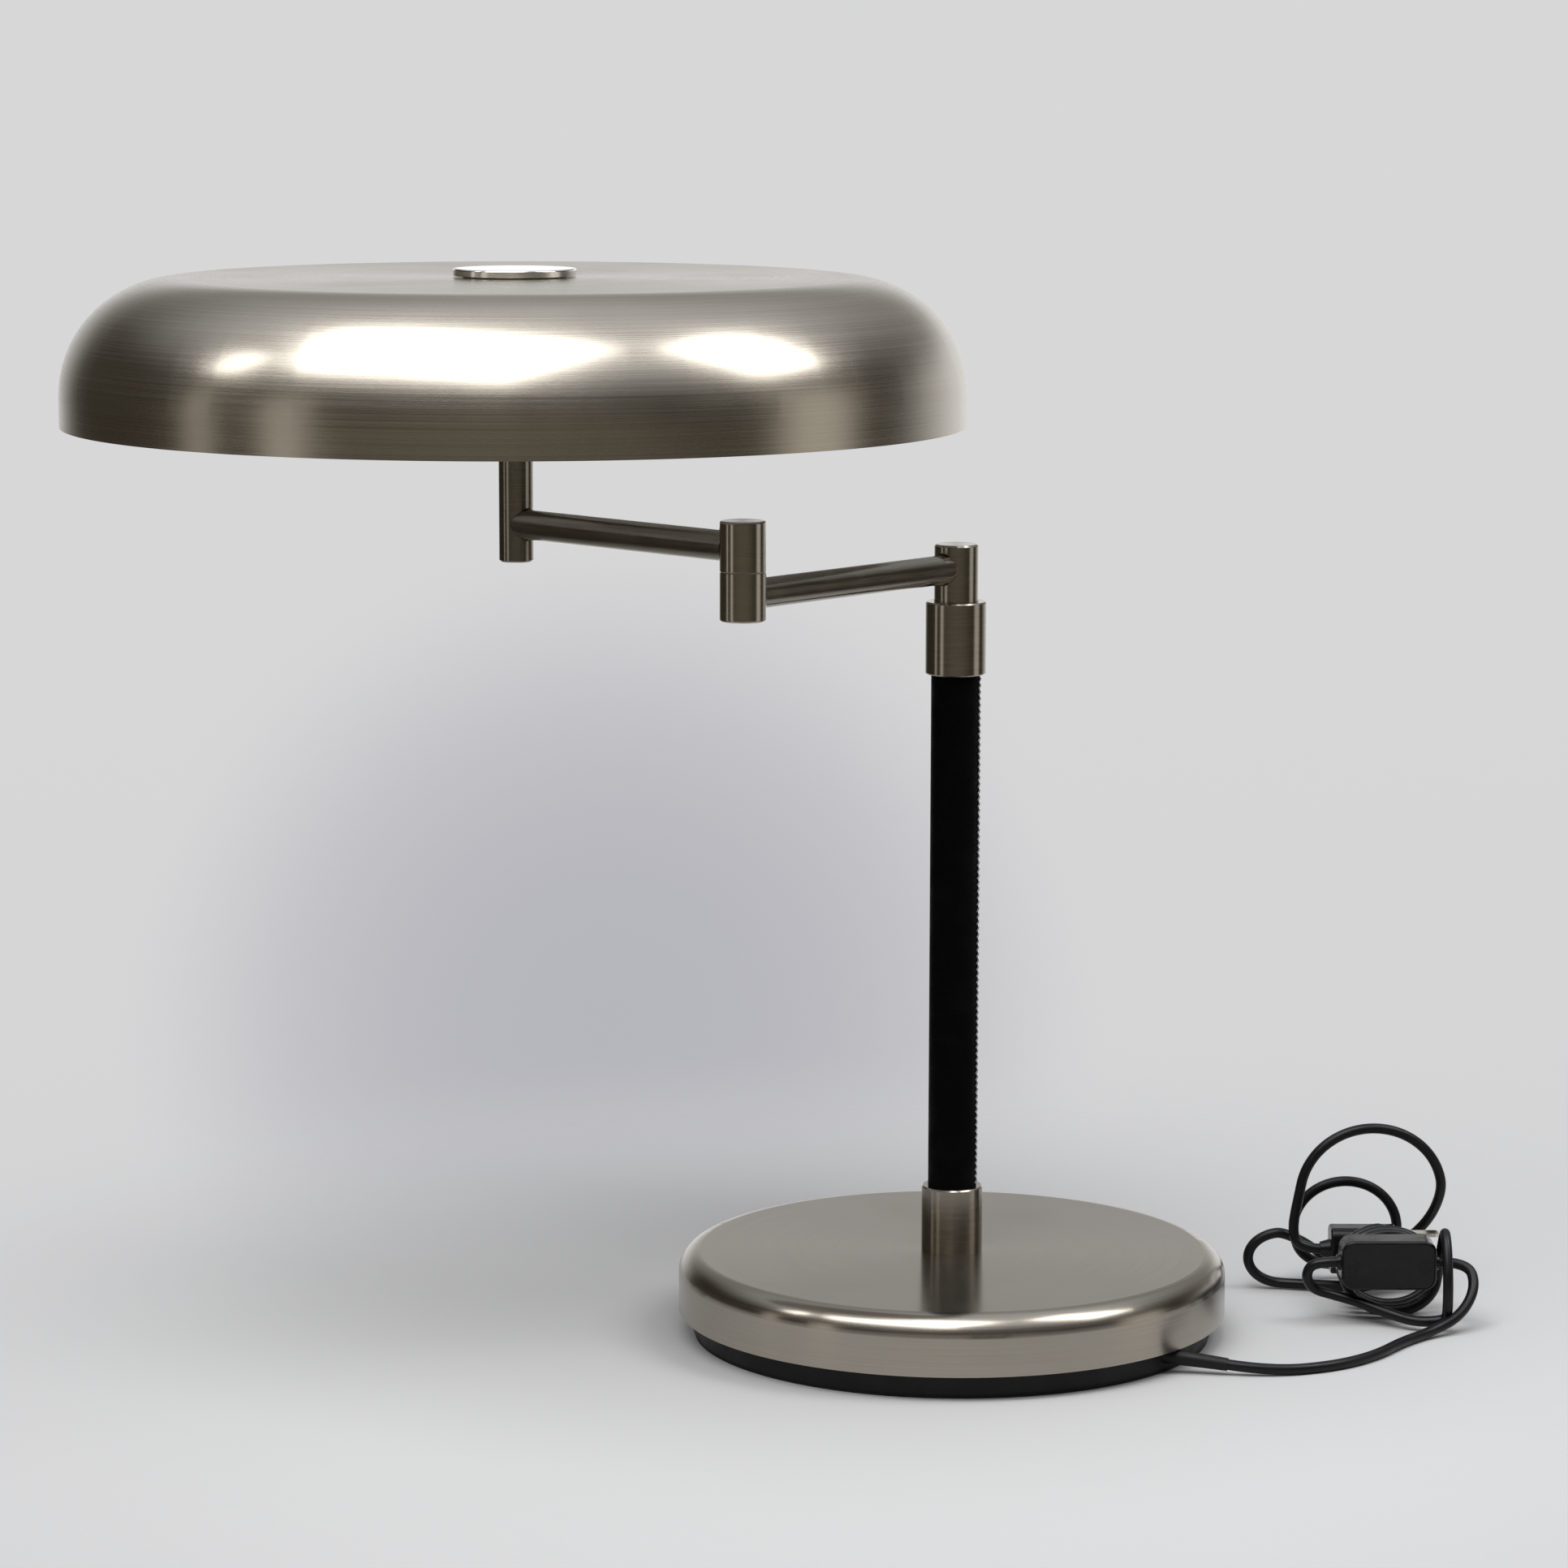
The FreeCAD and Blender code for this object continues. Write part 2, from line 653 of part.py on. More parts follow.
def cap(z, upward):
    """Rounded cap that closes a barrel, with a short spigot inside it."""
    low, high = (z - cap_height, z) if upward else (z, z + cap_height)
    disc = rod(elbow, low, high, barrel_radius)
    disc = disc.makeFillet(cap_fillet, edges_at(disc, z, barrel_radius))
    inner = (low - cap_spigot, low) if upward else (high, high + cap_spigot)
    outer = barrel_bore_radius - fit
    return disc.fuse(pipe(elbow, inner[0], inner[1], outer, outer - cap_spigot_wall))


def make_elbow():
    """Two barrels on a hollow pivot, with washers, nut and end caps."""
    lower = pipe(elbow, elbow_foot_z + cap_height, lower_barrel_top_z, barrel_radius, barrel_bore_radius)
    roof = pipe(elbow, lower_barrel_top_z - barrel_floor, lower_barrel_top_z, barrel_bore_radius + fit,
                pivot_radius + fit)
    nodes["lower_barrel"] = side_hole(lower.fuse(roof), elbow, lower_arm_z, lower_arm_heading + 180).removeSplitter()
    nodes["lower_barrel_cap"] = cap(elbow_foot_z, False).removeSplitter()

    floor_top_z = upper_barrel_foot_z + barrel_floor
    upper = pipe(elbow, upper_barrel_foot_z, elbow_top_z - cap_height, barrel_radius, barrel_bore_radius)
    floor = pipe(elbow, upper_barrel_foot_z, floor_top_z, barrel_bore_radius + fit, pivot_radius + running_fit)
    nodes["upper_barrel"] = side_hole(upper.fuse(floor), elbow, upper_arm_z, upper_arm_heading).removeSplitter()
    nodes["upper_barrel_cap"] = cap(elbow_top_z, True).removeSplitter()

    nodes["elbow_washer"] = pipe(elbow, elbow_washer_z, elbow_washer_z + elbow_washer_height,
                                 barrel_radius - elbow_washer_inset, pivot_radius + fit)
    spring_z = floor_top_z + face_gap
    nut_z = spring_z + spring_washer_height
    pivot_top_z = nut_z + elbow_nut_height + pivot_tail
    head_top_z = lower_barrel_top_z - barrel_floor
    pivot = rod(elbow, head_top_z, pivot_top_z, pivot_radius)
    pivot = pivot.fuse(rod(elbow, head_top_z - pivot_head_height, head_top_z, pivot_head_radius))
    bore = rod(elbow, head_top_z - pivot_head_height, pivot_top_z, pivot_bore_radius)
    nodes["elbow_pivot"] = pivot.cut(bore).removeSplitter()
    nodes["elbow_spring_washer"] = pipe(elbow, spring_z, nut_z, spring_washer_radius, pivot_radius + fit)
    nodes["elbow_nut"] = hexagon(elbow, nut_z, elbow_nut_height, elbow_nut_flats, pivot_radius + fit)


# ---------------------------------------------------------------- stem, shade and finial
def make_stem():
    """Bar with a wire bore, bored at the side for the upper arm."""
    bar = rod(stem, stem_foot_z, stem_top_z, stem_radius)
    bar = bar.makeChamfer(stem_chamfer, edges_at(bar, stem_foot_z, stem_radius))
    bar = bored(bar, stem, upper_arm_z, upper_arm_heading + 180, stem_radius)
    bar = bar.cut(rod(stem, upper_arm_z - lead_radius - lead_room, stem_top_z, lead_radius + lead_room))
    bar = bar.cut(rod(stem, stem_top_z - nipple_in_stem, stem_top_z, nipple_radius + fit))
    cross = beam(at(stem, holder_z) - V(stem_radius, 0, 0), V(1, 0, 0), 2 * stem_radius,
                 holder_lead_radius + lead_room / 2)
    nodes["shade_stem"] = bar.cut(cross)
    nodes["shade_nipple"] = pipe(stem, stem_top_z - nipple_in_stem, nipple_top_z, nipple_radius,
                                 nipple_bore_radius)


def dome_line(inset, foot_z):
    """Edges of the shade's half section, moved in by inset, from its foot to its axis."""
    radius = shade_radius - inset
    top = shade_top_z - inset
    bend = shade_shoulder_radius - inset
    slope = math.sqrt(0.5) * bend
    middle = V(radius - bend + slope, 0, top - bend + slope)
    return [
        Part.LineSegment(V(radius, 0, foot_z), V(radius, 0, top - bend)).toShape(),
        Part.Arc(V(radius, 0, top - bend), middle, V(radius - bend, 0, top)).toShape(),
        Part.LineSegment(V(radius - bend, 0, top), V(0, 0, top)).toShape(),
    ]


def dome(inset, foot_z):
    """Solid inside that line, about the stem's axis."""
    top = shade_top_z - inset
    closing = [
        Part.LineSegment(V(0, 0, top), V(0, 0, foot_z)).toShape(),
        Part.LineSegment(V(0, 0, foot_z), V(shade_radius - inset, 0, foot_z)).toShape(),
    ]
    solid = Part.Face(Part.Wire(dome_line(inset, foot_z) + closing)).revolve(ORIGIN, UP, 360)
    solid.translate(V(stem.x, stem.y, 0))
    return solid


def make_shade():
    """Spun shade with a hemmed rim, the nut and washers that clamp it, and the finial."""
    shell = dome(0, rim_z).cut(dome(shade_wall, rim_z))
    hem = pipe(stem, rim_z, rim_z + shade_hem_height, shade_radius - shade_wall / 2, shade_radius - 2 * shade_wall)
    shell = shell.fuse(hem).cut(rod(stem, seat_washer_z, shade_top_z, nipple_radius + running_fit))
    nodes["shade"] = shell.removeSplitter()
    nodes["shade_nut"] = hexagon(stem, seat_nut_z, seat_nut_height - face_gap, seat_nut_flats, nipple_radius + fit)
    nodes["shade_washer"] = pipe(stem, seat_washer_z, seat_washer_z + seat_washer_height, seat_washer_radius,
                                 nipple_radius + running_fit)
    nodes["finial_washer"] = pipe(stem, shade_top_z, finial_z, finial_washer_radius, nipple_radius + running_fit)
    disc = rod(stem, finial_z, finial_z + finial_height, finial_radius)
    disc = disc.makeFillet(finial_fillet, edges_at(disc, finial_z + finial_height, finial_radius))
    nodes["finial"] = disc.cut(rod(stem, finial_z, nipple_top_z + finial_bore_room, nipple_radius + running_fit))


# ---------------------------------------------------------------- lamp holders and bulbs
def make_holders():
    """Bracket on the stem with two horizontal lamp holders, their nuts and bulbs."""
    half = bracket_half_length
    bracket = Part.makeBox(2 * half, bracket_width, bracket_thickness,
                           at(stem, stem_top_z) - V(half, bracket_width / 2, 0))
    nuts = []
    leads = []
    for side, name in ((-1, "left"), (1, "right")):
        out = V(side, 0, 0)
        ear_x = half - bracket_thickness if side > 0 else -half
        ear = Part.makeBox(bracket_thickness, bracket_width, bracket_drop,
                           at(stem, bracket_top_z - bracket_drop) + V(ear_x, -bracket_width / 2, 0))
        axis_foot = at(stem, holder_z)
        hole = beam(axis_foot, out, half + 1, holder_nipple_radius + fit)
        bracket = bracket.fuse(ear).cut(hole)

        nut_start = half - bracket_thickness - holder_nut_height
        nuts.append(side_nut(axis_foot + out * nut_start, out))
        back = beam(axis_foot + out * half, out, holder_back_length, holder_back_radius)
        body = beam(axis_foot + out * (half + holder_back_length), out, holder_length - holder_back_length,
                    holder_radius)
        stub = beam(axis_foot + out * (half - holder_nipple_length / 2), out, holder_nipple_length / 2,
                    holder_nipple_radius)
        holder = stub.fuse(back).fuse(body)
        mouth = half + holder_length
        socket = beam(axis_foot + out * (mouth - holder_bore_depth), out, holder_bore_depth, holder_bore_radius)
        passage = beam(axis_foot, out, mouth, holder_nipple_bore_radius)
        nodes["lampholder_" + name] = holder.cut(socket).cut(passage).removeSplitter()

        tip = mouth - holder_bore_depth + bulb_cap_gap
        cap_end = axis_foot + out * tip
        nodes["bulb_cap_" + name] = beam(cap_end, out, bulb_cap_length, bulb_cap_radius)
        nodes["bulb_glass_" + name] = bulb_glass_solid(cap_end, out)
        first = lead_radius + lead_cut
        leads.append(beam(axis_foot + out * first, out, half + holder_lead_reach - first, holder_lead_radius))
    slot = rod(stem, stem_top_z, bracket_top_z, nipple_radius + fit)
    nodes["lamp_bracket"] = bracket.cut(slot).removeSplitter()
    nodes["bracket_nut"] = hexagon(stem, bracket_top_z, bracket_nut_height, seat_nut_flats, nipple_radius + fit)
    nodes["holder_nuts"] = Part.makeCompound(nuts)
    nodes["holder_leads"] = Part.makeCompound(leads)


def side_nut(start, out):
    """Hexagon nut with a level axis."""
    nut = hexagon(ORIGIN, 0, holder_nut_height, holder_nut_flats, holder_nipple_radius + fit)
    nut.Placement = FreeCAD.Placement(start, FreeCAD.Rotation(UP, out))
    return nut


def bulb_glass_solid(cap_end, out):
    """Round bulb envelope: a hollow ball that narrows to the cap."""
    neck = cap_end + out * bulb_cap_length
    centre = cap_end + out * (bulb_length - bulb_radius)
    cone_length = (centre - neck).Length - math.sqrt(bulb_radius ** 2 - bulb_flare_radius ** 2)
    outside = Part.makeSphere(bulb_radius, centre)
    outside = outside.fuse(Part.makeCone(bulb_cap_radius, bulb_flare_radius, cone_length, neck, out))
    inner = Part.makeSphere(bulb_radius - bulb_glass, centre)
    inner = inner.fuse(Part.makeCone(bulb_cap_radius - bulb_glass, bulb_flare_radius - bulb_glass,
                                     cone_length, neck, out))
    return outside.cut(inner).removeSplitter()


# ---------------------------------------------------------------- leads inside the lamp
def make_leads():
    """Two-core lead through the column, the swivel, the arms and the stem, cut at each swivel."""
    points = [
        at(ORIGIN, spigot_foot_z),
        at(ORIGIN, lower_arm_z),
        at(elbow, lower_arm_z),
        at(elbow, upper_arm_z - arm_radius),
    ]
    nodes["lower_arm_lead"] = lead(points, [lead_bend, lead_bend], lead_radius)
    points = [
        at(elbow, upper_arm_z) + heading(upper_arm_heading) * barrel_bore_radius,
        at(stem, upper_arm_z),
        at(stem, holder_z + lead_radius),
    ]
    nodes["upper_arm_lead"] = lead(points, [lead_bend], lead_radius)


# ---------------------------------------------------------------- switch and plug
def rounded_block(corner, size, axis, radius):
    """Box whose four edges along an axis are rounded."""
    block = Part.makeBox(size.x, size.y, size.z, corner)
    lines = [edge for edge in block.Edges if abs(edge.tangentAt(0).dot(axis)) > 0.99]
    return block.makeFillet(radius, lines)


def face_edges(shape, axis, place):
    """Edges that lie in the plane across axis at this place."""
    found = []
    for edge in shape.Edges:
        if all(abs(vertex.Point.dot(axis) - place) < 1e-6 for vertex in edge.Vertexes):
            found.append(edge)
    return found


def rocker_solid(swing):
    """The rocker and its axle about the pivot, turned by swing degrees."""
    tilt = math.radians(rocker_travel / 2)
    end = rocker_radius + rocker_room
    top = rocker_rise + end * math.tan(tilt)
    corners = [V(-end, -rocker_below_pivot, 0), V(end, -rocker_below_pivot, 0), V(end, top, 0),
               V(0, rocker_rise, 0), V(-end, top, 0)]
    half = rocker_width / 2
    solid = Part.Face(Part.makePolygon(corners + corners[:1])).extrude(V(0, 0, rocker_width))
    solid.translate(V(0, 0, -half))
    solid = solid.common(Part.makeCylinder(rocker_radius, rocker_width, V(0, 0, -half), UP))
    axle_half = half + rocker_axle_length
    solid = solid.fuse(Part.makeCylinder(rocker_axle_radius, 2 * axle_half, V(0, 0, -axle_half), UP))
    solid.rotate(ORIGIN, UP, swing)
    return solid.removeSplitter()


def make_switch():
    """Two-part housing with a rocker, its contacts and the two screws that close it."""
    half = V(switch_length / 2, switch_depth / 2, switch_width / 2)
    along = V(1, 0, 0)
    across = V(0, 1, 0)
    body = rounded_block(switch_place - half, half * 2, across, switch_corner)
    front = switch_place.y - half.y
    back = switch_place.y + half.y
    body = body.makeFillet(switch_edge, face_edges(body, across, front) + face_edges(body, across, back))
    for side in (-1, 1):
        nose_foot = switch_place + along * (side * (half.x - switch_wall / 2))
        body = body.fuse(Part.makeCone(switch_nose_radius, switch_nose_tip_radius,
                                       switch_nose_length + switch_wall / 2, nose_foot, along * side))
    inset = V(switch_wall, switch_wall, switch_wall)
    body = body.cut(rounded_block(switch_place - half + inset, (half - inset) * 2, across,
                                  switch_corner - switch_wall))
    posts = [switch_place + along * (side * switch_screw_pitch / 2) for side in (-1, 1)]
    screws = []
    for post in posts:
        foot = V(post.x, front, post.z)
        head_end = small_screw_head_height + fit
        length = half.y + switch_screw_reach
        body = body.fuse(beam(foot + across * switch_wall / 2, across, switch_depth - switch_wall,
                              switch_post_radius))
        body = body.cut(beam(foot, across, head_end, small_screw_head_radius + fit))
        body = body.cut(beam(foot, across, length, small_screw_radius + fit))
        head = beam(foot + across * fit, across, small_screw_head_height, small_screw_head_radius)
        shank = beam(foot + across * head_end, across, length - head_end, small_screw_radius)
        screws.append(head.fuse(shank).removeSplitter())
    nodes["switch_screws"] = Part.makeCompound(screws)

    pivot = V(switch_place.x, back - rocker_pivot_depth, switch_place.z)
    window = V(rocker_radius + rocker_room, rocker_pivot_depth, rocker_width / 2 + rocker_room)
    opening = Part.makeBox(2 * window.x, window.y, 2 * window.z, pivot - V(window.x, 0, window.z))
    body = body.cut(opening)
    for side in (-1, 1):
        inner = window.z if side > 0 else -window.z - rocker_lug_thickness
        lug = Part.makeBox(2 * rocker_lug_half_length, half.y - switch_wall / 2, rocker_lug_thickness,
                           V(pivot.x - rocker_lug_half_length, switch_place.y, pivot.z + inner))
        body = body.fuse(lug)
    hole_half = window.z + rocker_lug_thickness
    body = body.cut(Part.makeCylinder(rocker_axle_radius + running_fit, 2 * hole_half,
                                      pivot - UP * hole_half, UP))
    reach = switch_reach + 1
    room = Part.makeBox(2 * reach, half.y + 1, 2 * reach, V(switch_place.x - reach, front - 1, pivot.z - reach))
    nodes["switch_base"] = body.common(room).removeSplitter()
    nodes["switch_cover"] = body.cut(room).removeSplitter()
    rocker = rocker_solid(-rocker_travel / 2)
    rocker.translate(pivot)
    nodes["switch_rocker"] = rocker

    contacts = []
    floor = front + switch_wall
    for side in (-1, 1):
        middle = switch_place.x + side * switch_contact_place
        sheet = switch_contact_sheet
        wide = switch_contact_width
        foot = Part.makeBox(wide, sheet, wide, V(middle - wide / 2, floor, switch_place.z - wide / 2))
        blade = Part.makeBox(sheet, half.y - switch_wall, wide, V(middle - sheet / 2, floor, switch_place.z - wide / 2))
        contacts.append(foot.fuse(blade).removeSplitter())
    nodes["switch_contacts"] = Part.makeCompound(contacts)


def make_plug():
    """Moulded plug body with two flat blades."""
    along = V(1, 0, 0)
    half = V(plug_length / 2, plug_width / 2, plug_height / 2)
    body = rounded_block(plug_place - half, half * 2, along, plug_corner)
    ends = face_edges(body, along, plug_place.x - half.x) + face_edges(body, along, plug_place.x + half.x)
    body = body.makeFillet(plug_edge, ends)
    body = body.fuse(Part.makeCone(plug_nose_tip_radius, plug_nose_radius, plug_nose_length + plug_edge,
                                   plug_cord_end, along))
    blades = []
    for side in (-1, 1):
        low = plug_place + V(half.x - blade_in_body, -blade_width / 2, side * blade_pitch / 2 - blade_thickness / 2)
        blade = rounded_block(low, V(blade_in_body + blade_length, blade_width, blade_thickness), UP, blade_corner)
        blades.append(blade)
        body = body.cut(blade)
    nodes["plug_body"] = body.removeSplitter()
    nodes["plug_pins"] = Part.makeCompound(blades)


# ---------------------------------------------------------------- mains cord
def make_cord():
    """The cord's free stretch along the table, from the gland to the switch."""
    points = [gland_tip, gland_tip + gland_axis * cord_first_run] + cord_points + [switch_cord_in]
    bends = []
    for before, corner, after in zip(points, points[1:], points[2:]):
        turn = (corner - before).getAngle(after - corner)
        run = min((corner - before).Length, (after - corner).Length)
        bends.append(cord_arc_share * run / math.tan(turn / 2))
    nodes["power_cord_lead"] = lead(points, bends, cord_radius)
    print("cord bends", [round(bend, 1) for bend in bends])
    length = bent_line(points, bends).Length
    print("cord lead", round(length, 1), "volume share",
          nodes["power_cord_lead"].Volume / (math.pi * cord_radius ** 2 * length))


def loop(foot, top, half_width, facing, start, quarters, foot_step=ORIGIN, top_step=ORIGIN):
    """Places and directions at each quarter of an oval loop, whose foot and top move on by a step a turn."""
    side = heading(facing)
    places = []
    for k in range(quarters + 1):
        turn = k / 4
        angle = math.radians(start) + 2 * math.pi * turn
        low = foot + foot_step * turn
        high = top + top_step * turn
        rise = (high - low) / 2
        drift = (foot_step + top_step + (top_step - foot_step) * math.sin(angle)) / 2
        place = (low + high) / 2 + side * (half_width * math.cos(angle)) + rise * math.sin(angle)
        swing = rise * math.cos(angle) - side * (half_width * math.sin(angle))
        places.append((place, (swing * (2 * math.pi) + drift).normalize()))
    return places


def between(points):
    """Places with no direction of their own."""
    return [(point, None) for point in points]


def hank_route():
    """Places and directions along the hank, from the switch to the plug."""
    along = V(1, 0, 0)
    route = [(switch_cord_out - along * hank_end_run, -along)] + between(hank_fold)
    route += loop(wrap_foot, wrap_top, wrap_half_width, -90, -90, 2)[1:]
    route += loop(turns_foot, turns_top, turns_half_width, 180, 180, turns_quarters, turns_foot_step,
                  turns_top_step)
    route += between(hank_low_run)
    route += loop(left_loop_foot, left_loop_top, left_loop_half_width, 180, 270, 2, ORIGIN, left_loop_top_step)
    route += between(hank_drop)
    route += loop(middle_loop_foot, middle_loop_top, middle_loop_half_width, 0, 270, 3)
    route += between(hank_rise)
    route += loop(big_loop_foot, big_loop_top, big_loop_half_width, 0, 0, 2, big_loop_step, big_loop_step)
    route += between(hank_last)
    route.append((plug_cord_end - along * hank_end_run, along))
    for i in range(1, len(route) - 1):
        if route[i][1] is None:
            arrive = route[i][0] - route[i - 1][0]
            leave = route[i + 1][0] - route[i][0]
            share = arrive * (leave.Length / arrive.Length) + leave * (arrive.Length / leave.Length)
            route[i] = (route[i][0], share.normalize())
    return route


def tangent_arc(start, direction, end):
    """Arc from start, leaving it in this direction, to end, with its radius."""
    chord = end - start
    half_turn = direction.getAngle(chord)
    radius = chord.Length / (2 * math.sin(half_turn))
    bow = (direction * chord.Length - chord * math.cos(half_turn)).normalize()
    middle = start + chord / 2 + bow * (radius * (1 - math.cos(half_turn)))
    return Part.Arc(start, middle, end).toShape(), radius


def two_arcs(start, direction, end, last_direction):
    """Two arcs that meet smoothly half way between two places with their directions."""
    chord = end - start
    both = direction + last_direction
    square = 2 * (1 - direction.dot(last_direction))
    reach = chord.dot(chord) / (2 * chord.dot(both))
    if square > 1e-9:
        root = math.sqrt((chord.dot(both)) ** 2 + square * chord.dot(chord))
        reach = (root - chord.dot(both)) / square
    meeting = (start + direction * reach + end - last_direction * reach) / 2
    first = (meeting - start).normalize()
    turned_direction = first * (2 * first.dot(direction)) - direction
    return [tangent_arc(start, direction, meeting), tangent_arc(meeting, turned_direction, end)]


def make_hank():
    """The hank: one tube through all its loops, straight for a diameter at both ends."""
    route = hank_route()
    edges = [Part.LineSegment(switch_cord_out, route[0][0]).toShape()]
    radii = []
    for (start, direction), (end, last_direction) in zip(route, route[1:]):
        for edge, radius in two_arcs(start, direction, end, last_direction):
            edges.append(edge)
            radii.append(radius)
    edges.append(Part.LineSegment(route[-1][0], plug_cord_end).toShape())
    path = Part.Wire(edges)
    section = Part.Wire(Part.makeCircle(cord_radius, switch_cord_out, V(-1, 0, 0)))
    nodes["power_cord_hank"] = path.makePipeShell([section], True, False)
    print("hank", round(path.Length, 1), "tightest bend", round(min(radii), 1), "least gap to itself",
          round(least_gap(path), 2), "volume share",
          nodes["power_cord_hank"].Volume / (math.pi * cord_radius ** 2 * path.Length))


def least_gap(path):
    """Least clear distance between two stretches of the cord, from points along its middle."""
    points = path.discretize(Distance=gap_step)
    skip = round(gap_skip / gap_step)
    least = math.inf
    for i, point in enumerate(points):
        for other in points[i + skip:]:
            least = min(least, point.distanceToPoint(other))
    return least - 2 * cord_radius


# ---------------------------------------------------------------- write the files
def main():
    make_base()
    make_cord_entry()
    make_column()
    make_swivel()
    make_arms()
    make_elbow()
    make_stem()
    make_shade()
    make_holders()
    make_leads()
    make_switch()
    make_plug()
    make_cord()
    make_hank()
    os.makedirs("parts", exist_ok=True)
    for name, shape in nodes.items():
        shape.exportStep("parts/" + name + ".step")
        print(name, len(shape.Solids), shape.isValid(), round(shape.Volume, 1),
              [round(x, 2) for x in (shape.BoundBox.ZMin, shape.BoundBox.ZMax)])
    print("elbow", elbow, "stem", stem, "rim", rim_z, "top", finial_z + finial_height,
          "arms", lower_arm_z, upper_arm_z, "holders", holder_z)


main()
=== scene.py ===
import math

import bmesh
import bpy
from mathutils import Matrix, Vector


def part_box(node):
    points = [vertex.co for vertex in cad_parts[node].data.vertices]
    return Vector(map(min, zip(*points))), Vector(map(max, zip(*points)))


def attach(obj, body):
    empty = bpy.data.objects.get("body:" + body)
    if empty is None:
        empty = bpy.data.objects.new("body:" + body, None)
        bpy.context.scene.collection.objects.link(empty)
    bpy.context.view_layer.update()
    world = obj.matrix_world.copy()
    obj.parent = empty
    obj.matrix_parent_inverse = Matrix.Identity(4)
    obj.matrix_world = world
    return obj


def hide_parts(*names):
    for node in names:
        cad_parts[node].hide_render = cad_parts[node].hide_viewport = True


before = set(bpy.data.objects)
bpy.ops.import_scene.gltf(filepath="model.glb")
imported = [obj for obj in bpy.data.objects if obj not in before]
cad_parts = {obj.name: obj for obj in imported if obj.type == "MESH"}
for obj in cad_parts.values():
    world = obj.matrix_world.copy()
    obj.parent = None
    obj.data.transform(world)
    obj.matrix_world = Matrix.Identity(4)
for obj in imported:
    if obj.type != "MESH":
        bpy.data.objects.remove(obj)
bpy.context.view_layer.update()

MM = 0.001
UP = Vector((0, 0, 1))


def mm(x, y, z):
    """A point given in millimetres."""
    return Vector((x, y, z)) * MM


def middle(node):
    """Middle of a CAD node's box."""
    low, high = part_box(node)
    return (Vector(low) + Vector(high)) / 2


def heading(angle):
    """Level unit vector, at this many degrees from +X."""
    return Vector((math.cos(math.radians(angle)), math.sin(math.radians(angle)), 0))


# ---------------------------------------------------------------- driving values
COLUMN = Vector((0, 0, 0))
SHADE_AXIS = middle("shade")
ELBOW_AXIS = middle("lower_barrel")
STEM_AXIS = middle("shade_stem")
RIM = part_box("shade")[0][2]

STEEL = (0.46, 0.42, 0.36)
STEEL_LIGHT = (0.51, 0.47, 0.405)
STEEL_DARK = (0.405, 0.365, 0.305)
CHROME = (0.82, 0.80, 0.76)
ZINC = (0.58, 0.58, 0.57)
NICKEL = (0.70, 0.66, 0.56)
ENAMEL = (0.62, 0.61, 0.58)

RING_GRAIN = 3200.0          # cells of the turned brushing in a metre
RING_COARSER = 9             # times as wide as the fine rings
RING_CREEP = 0.0003          # metres that the rings' pattern moves on in a radian
DRAWN_GRAIN = 2600.0         # cells of the lengthwise brushing in a metre
DRAWN_STRETCH = 0.03         # share of its grain that a tube has along its length
DRAWN_PAINTED_SHADE = 0.68           # painted shade: the tubes' steel darkened to this share of the shade's steel
BRUSH_DEPTH = 0.002 * MM
BRUSH_STRENGTH = 0.4
STAIN_GRAIN = 26.0           # cells of the faint stains in a metre

SEAM_HEADING = -17.0         # of the leather's seam, seen from the column
SEAM_WIDTH = 3.0 * MM
SEAM_LIFT = 0.30 * MM
SEAM_ROWS = 120
SEAM_POINTS = 13             # across the seam
STITCH_PITCH = 2.6 * MM
STITCH_RADIUS = 0.33 * MM
STITCH_SLANT = 0.55 * MM

CORD_RADIUS = 2.1 * MM


# ---------------------------------------------------------------- shader helpers
def new_material(name):
    """Empty node material with its shader and output."""
    material = bpy.data.materials.new(name)
    material.use_nodes = True
    tree = material.node_tree
    return material, tree, tree.nodes["Principled BSDF"]


def add(tree, kind, **settings):
    """New shader node with its properties set."""
    made = tree.nodes.new(kind)
    for key, value in settings.items():
        setattr(made, key, value)
    return made


def math_node(tree, operation, first, second=None):
    """Math node; its inputs are sockets or numbers."""
    made = add(tree, "ShaderNodeMath", operation=operation)
    for socket, value in zip(made.inputs, (first, second)):
        if value is None:
            continue
        if isinstance(value, (int, float)):
            socket.default_value = value
        else:
            tree.links.new(value, socket)
    return made.outputs[0]


def ranged(tree, value, low, high, to_low, to_high):
    """Value from one range to another, smoothly."""
    made = add(tree, "ShaderNodeMapRange", interpolation_type="SMOOTHSTEP")
    tree.links.new(value, made.inputs["Value"])
    for socket, number in (("From Min", low), ("From Max", high), ("To Min", to_low), ("To Max", to_high)):
        made.inputs[socket].default_value = number
    return made.outputs["Result"]


def noise(tree, vector, scale, detail=2.0, roughness=0.5):
    """Noise value along a vector socket."""
    made = add(tree, "ShaderNodeTexNoise")
    made.inputs["Scale"].default_value = scale
    made.inputs["Detail"].default_value = detail
    made.inputs["Roughness"].default_value = roughness
    tree.links.new(vector, made.inputs["Vector"])
    return made.outputs["Fac"]


def blended(tree, factor, colour_low, colour_high):
    """Colour between two, by a factor socket."""
    made = add(tree, "ShaderNodeMix", data_type="RGBA")
    tree.links.new(factor, made.inputs["Factor"])
    for socket, colour in ((made.inputs["A"], colour_low), (made.inputs["B"], colour_high)):
        if isinstance(colour, tuple):
            socket.default_value = (*colour, 1)
        else:
            tree.links.new(colour, socket)
    return made.outputs["Result"]


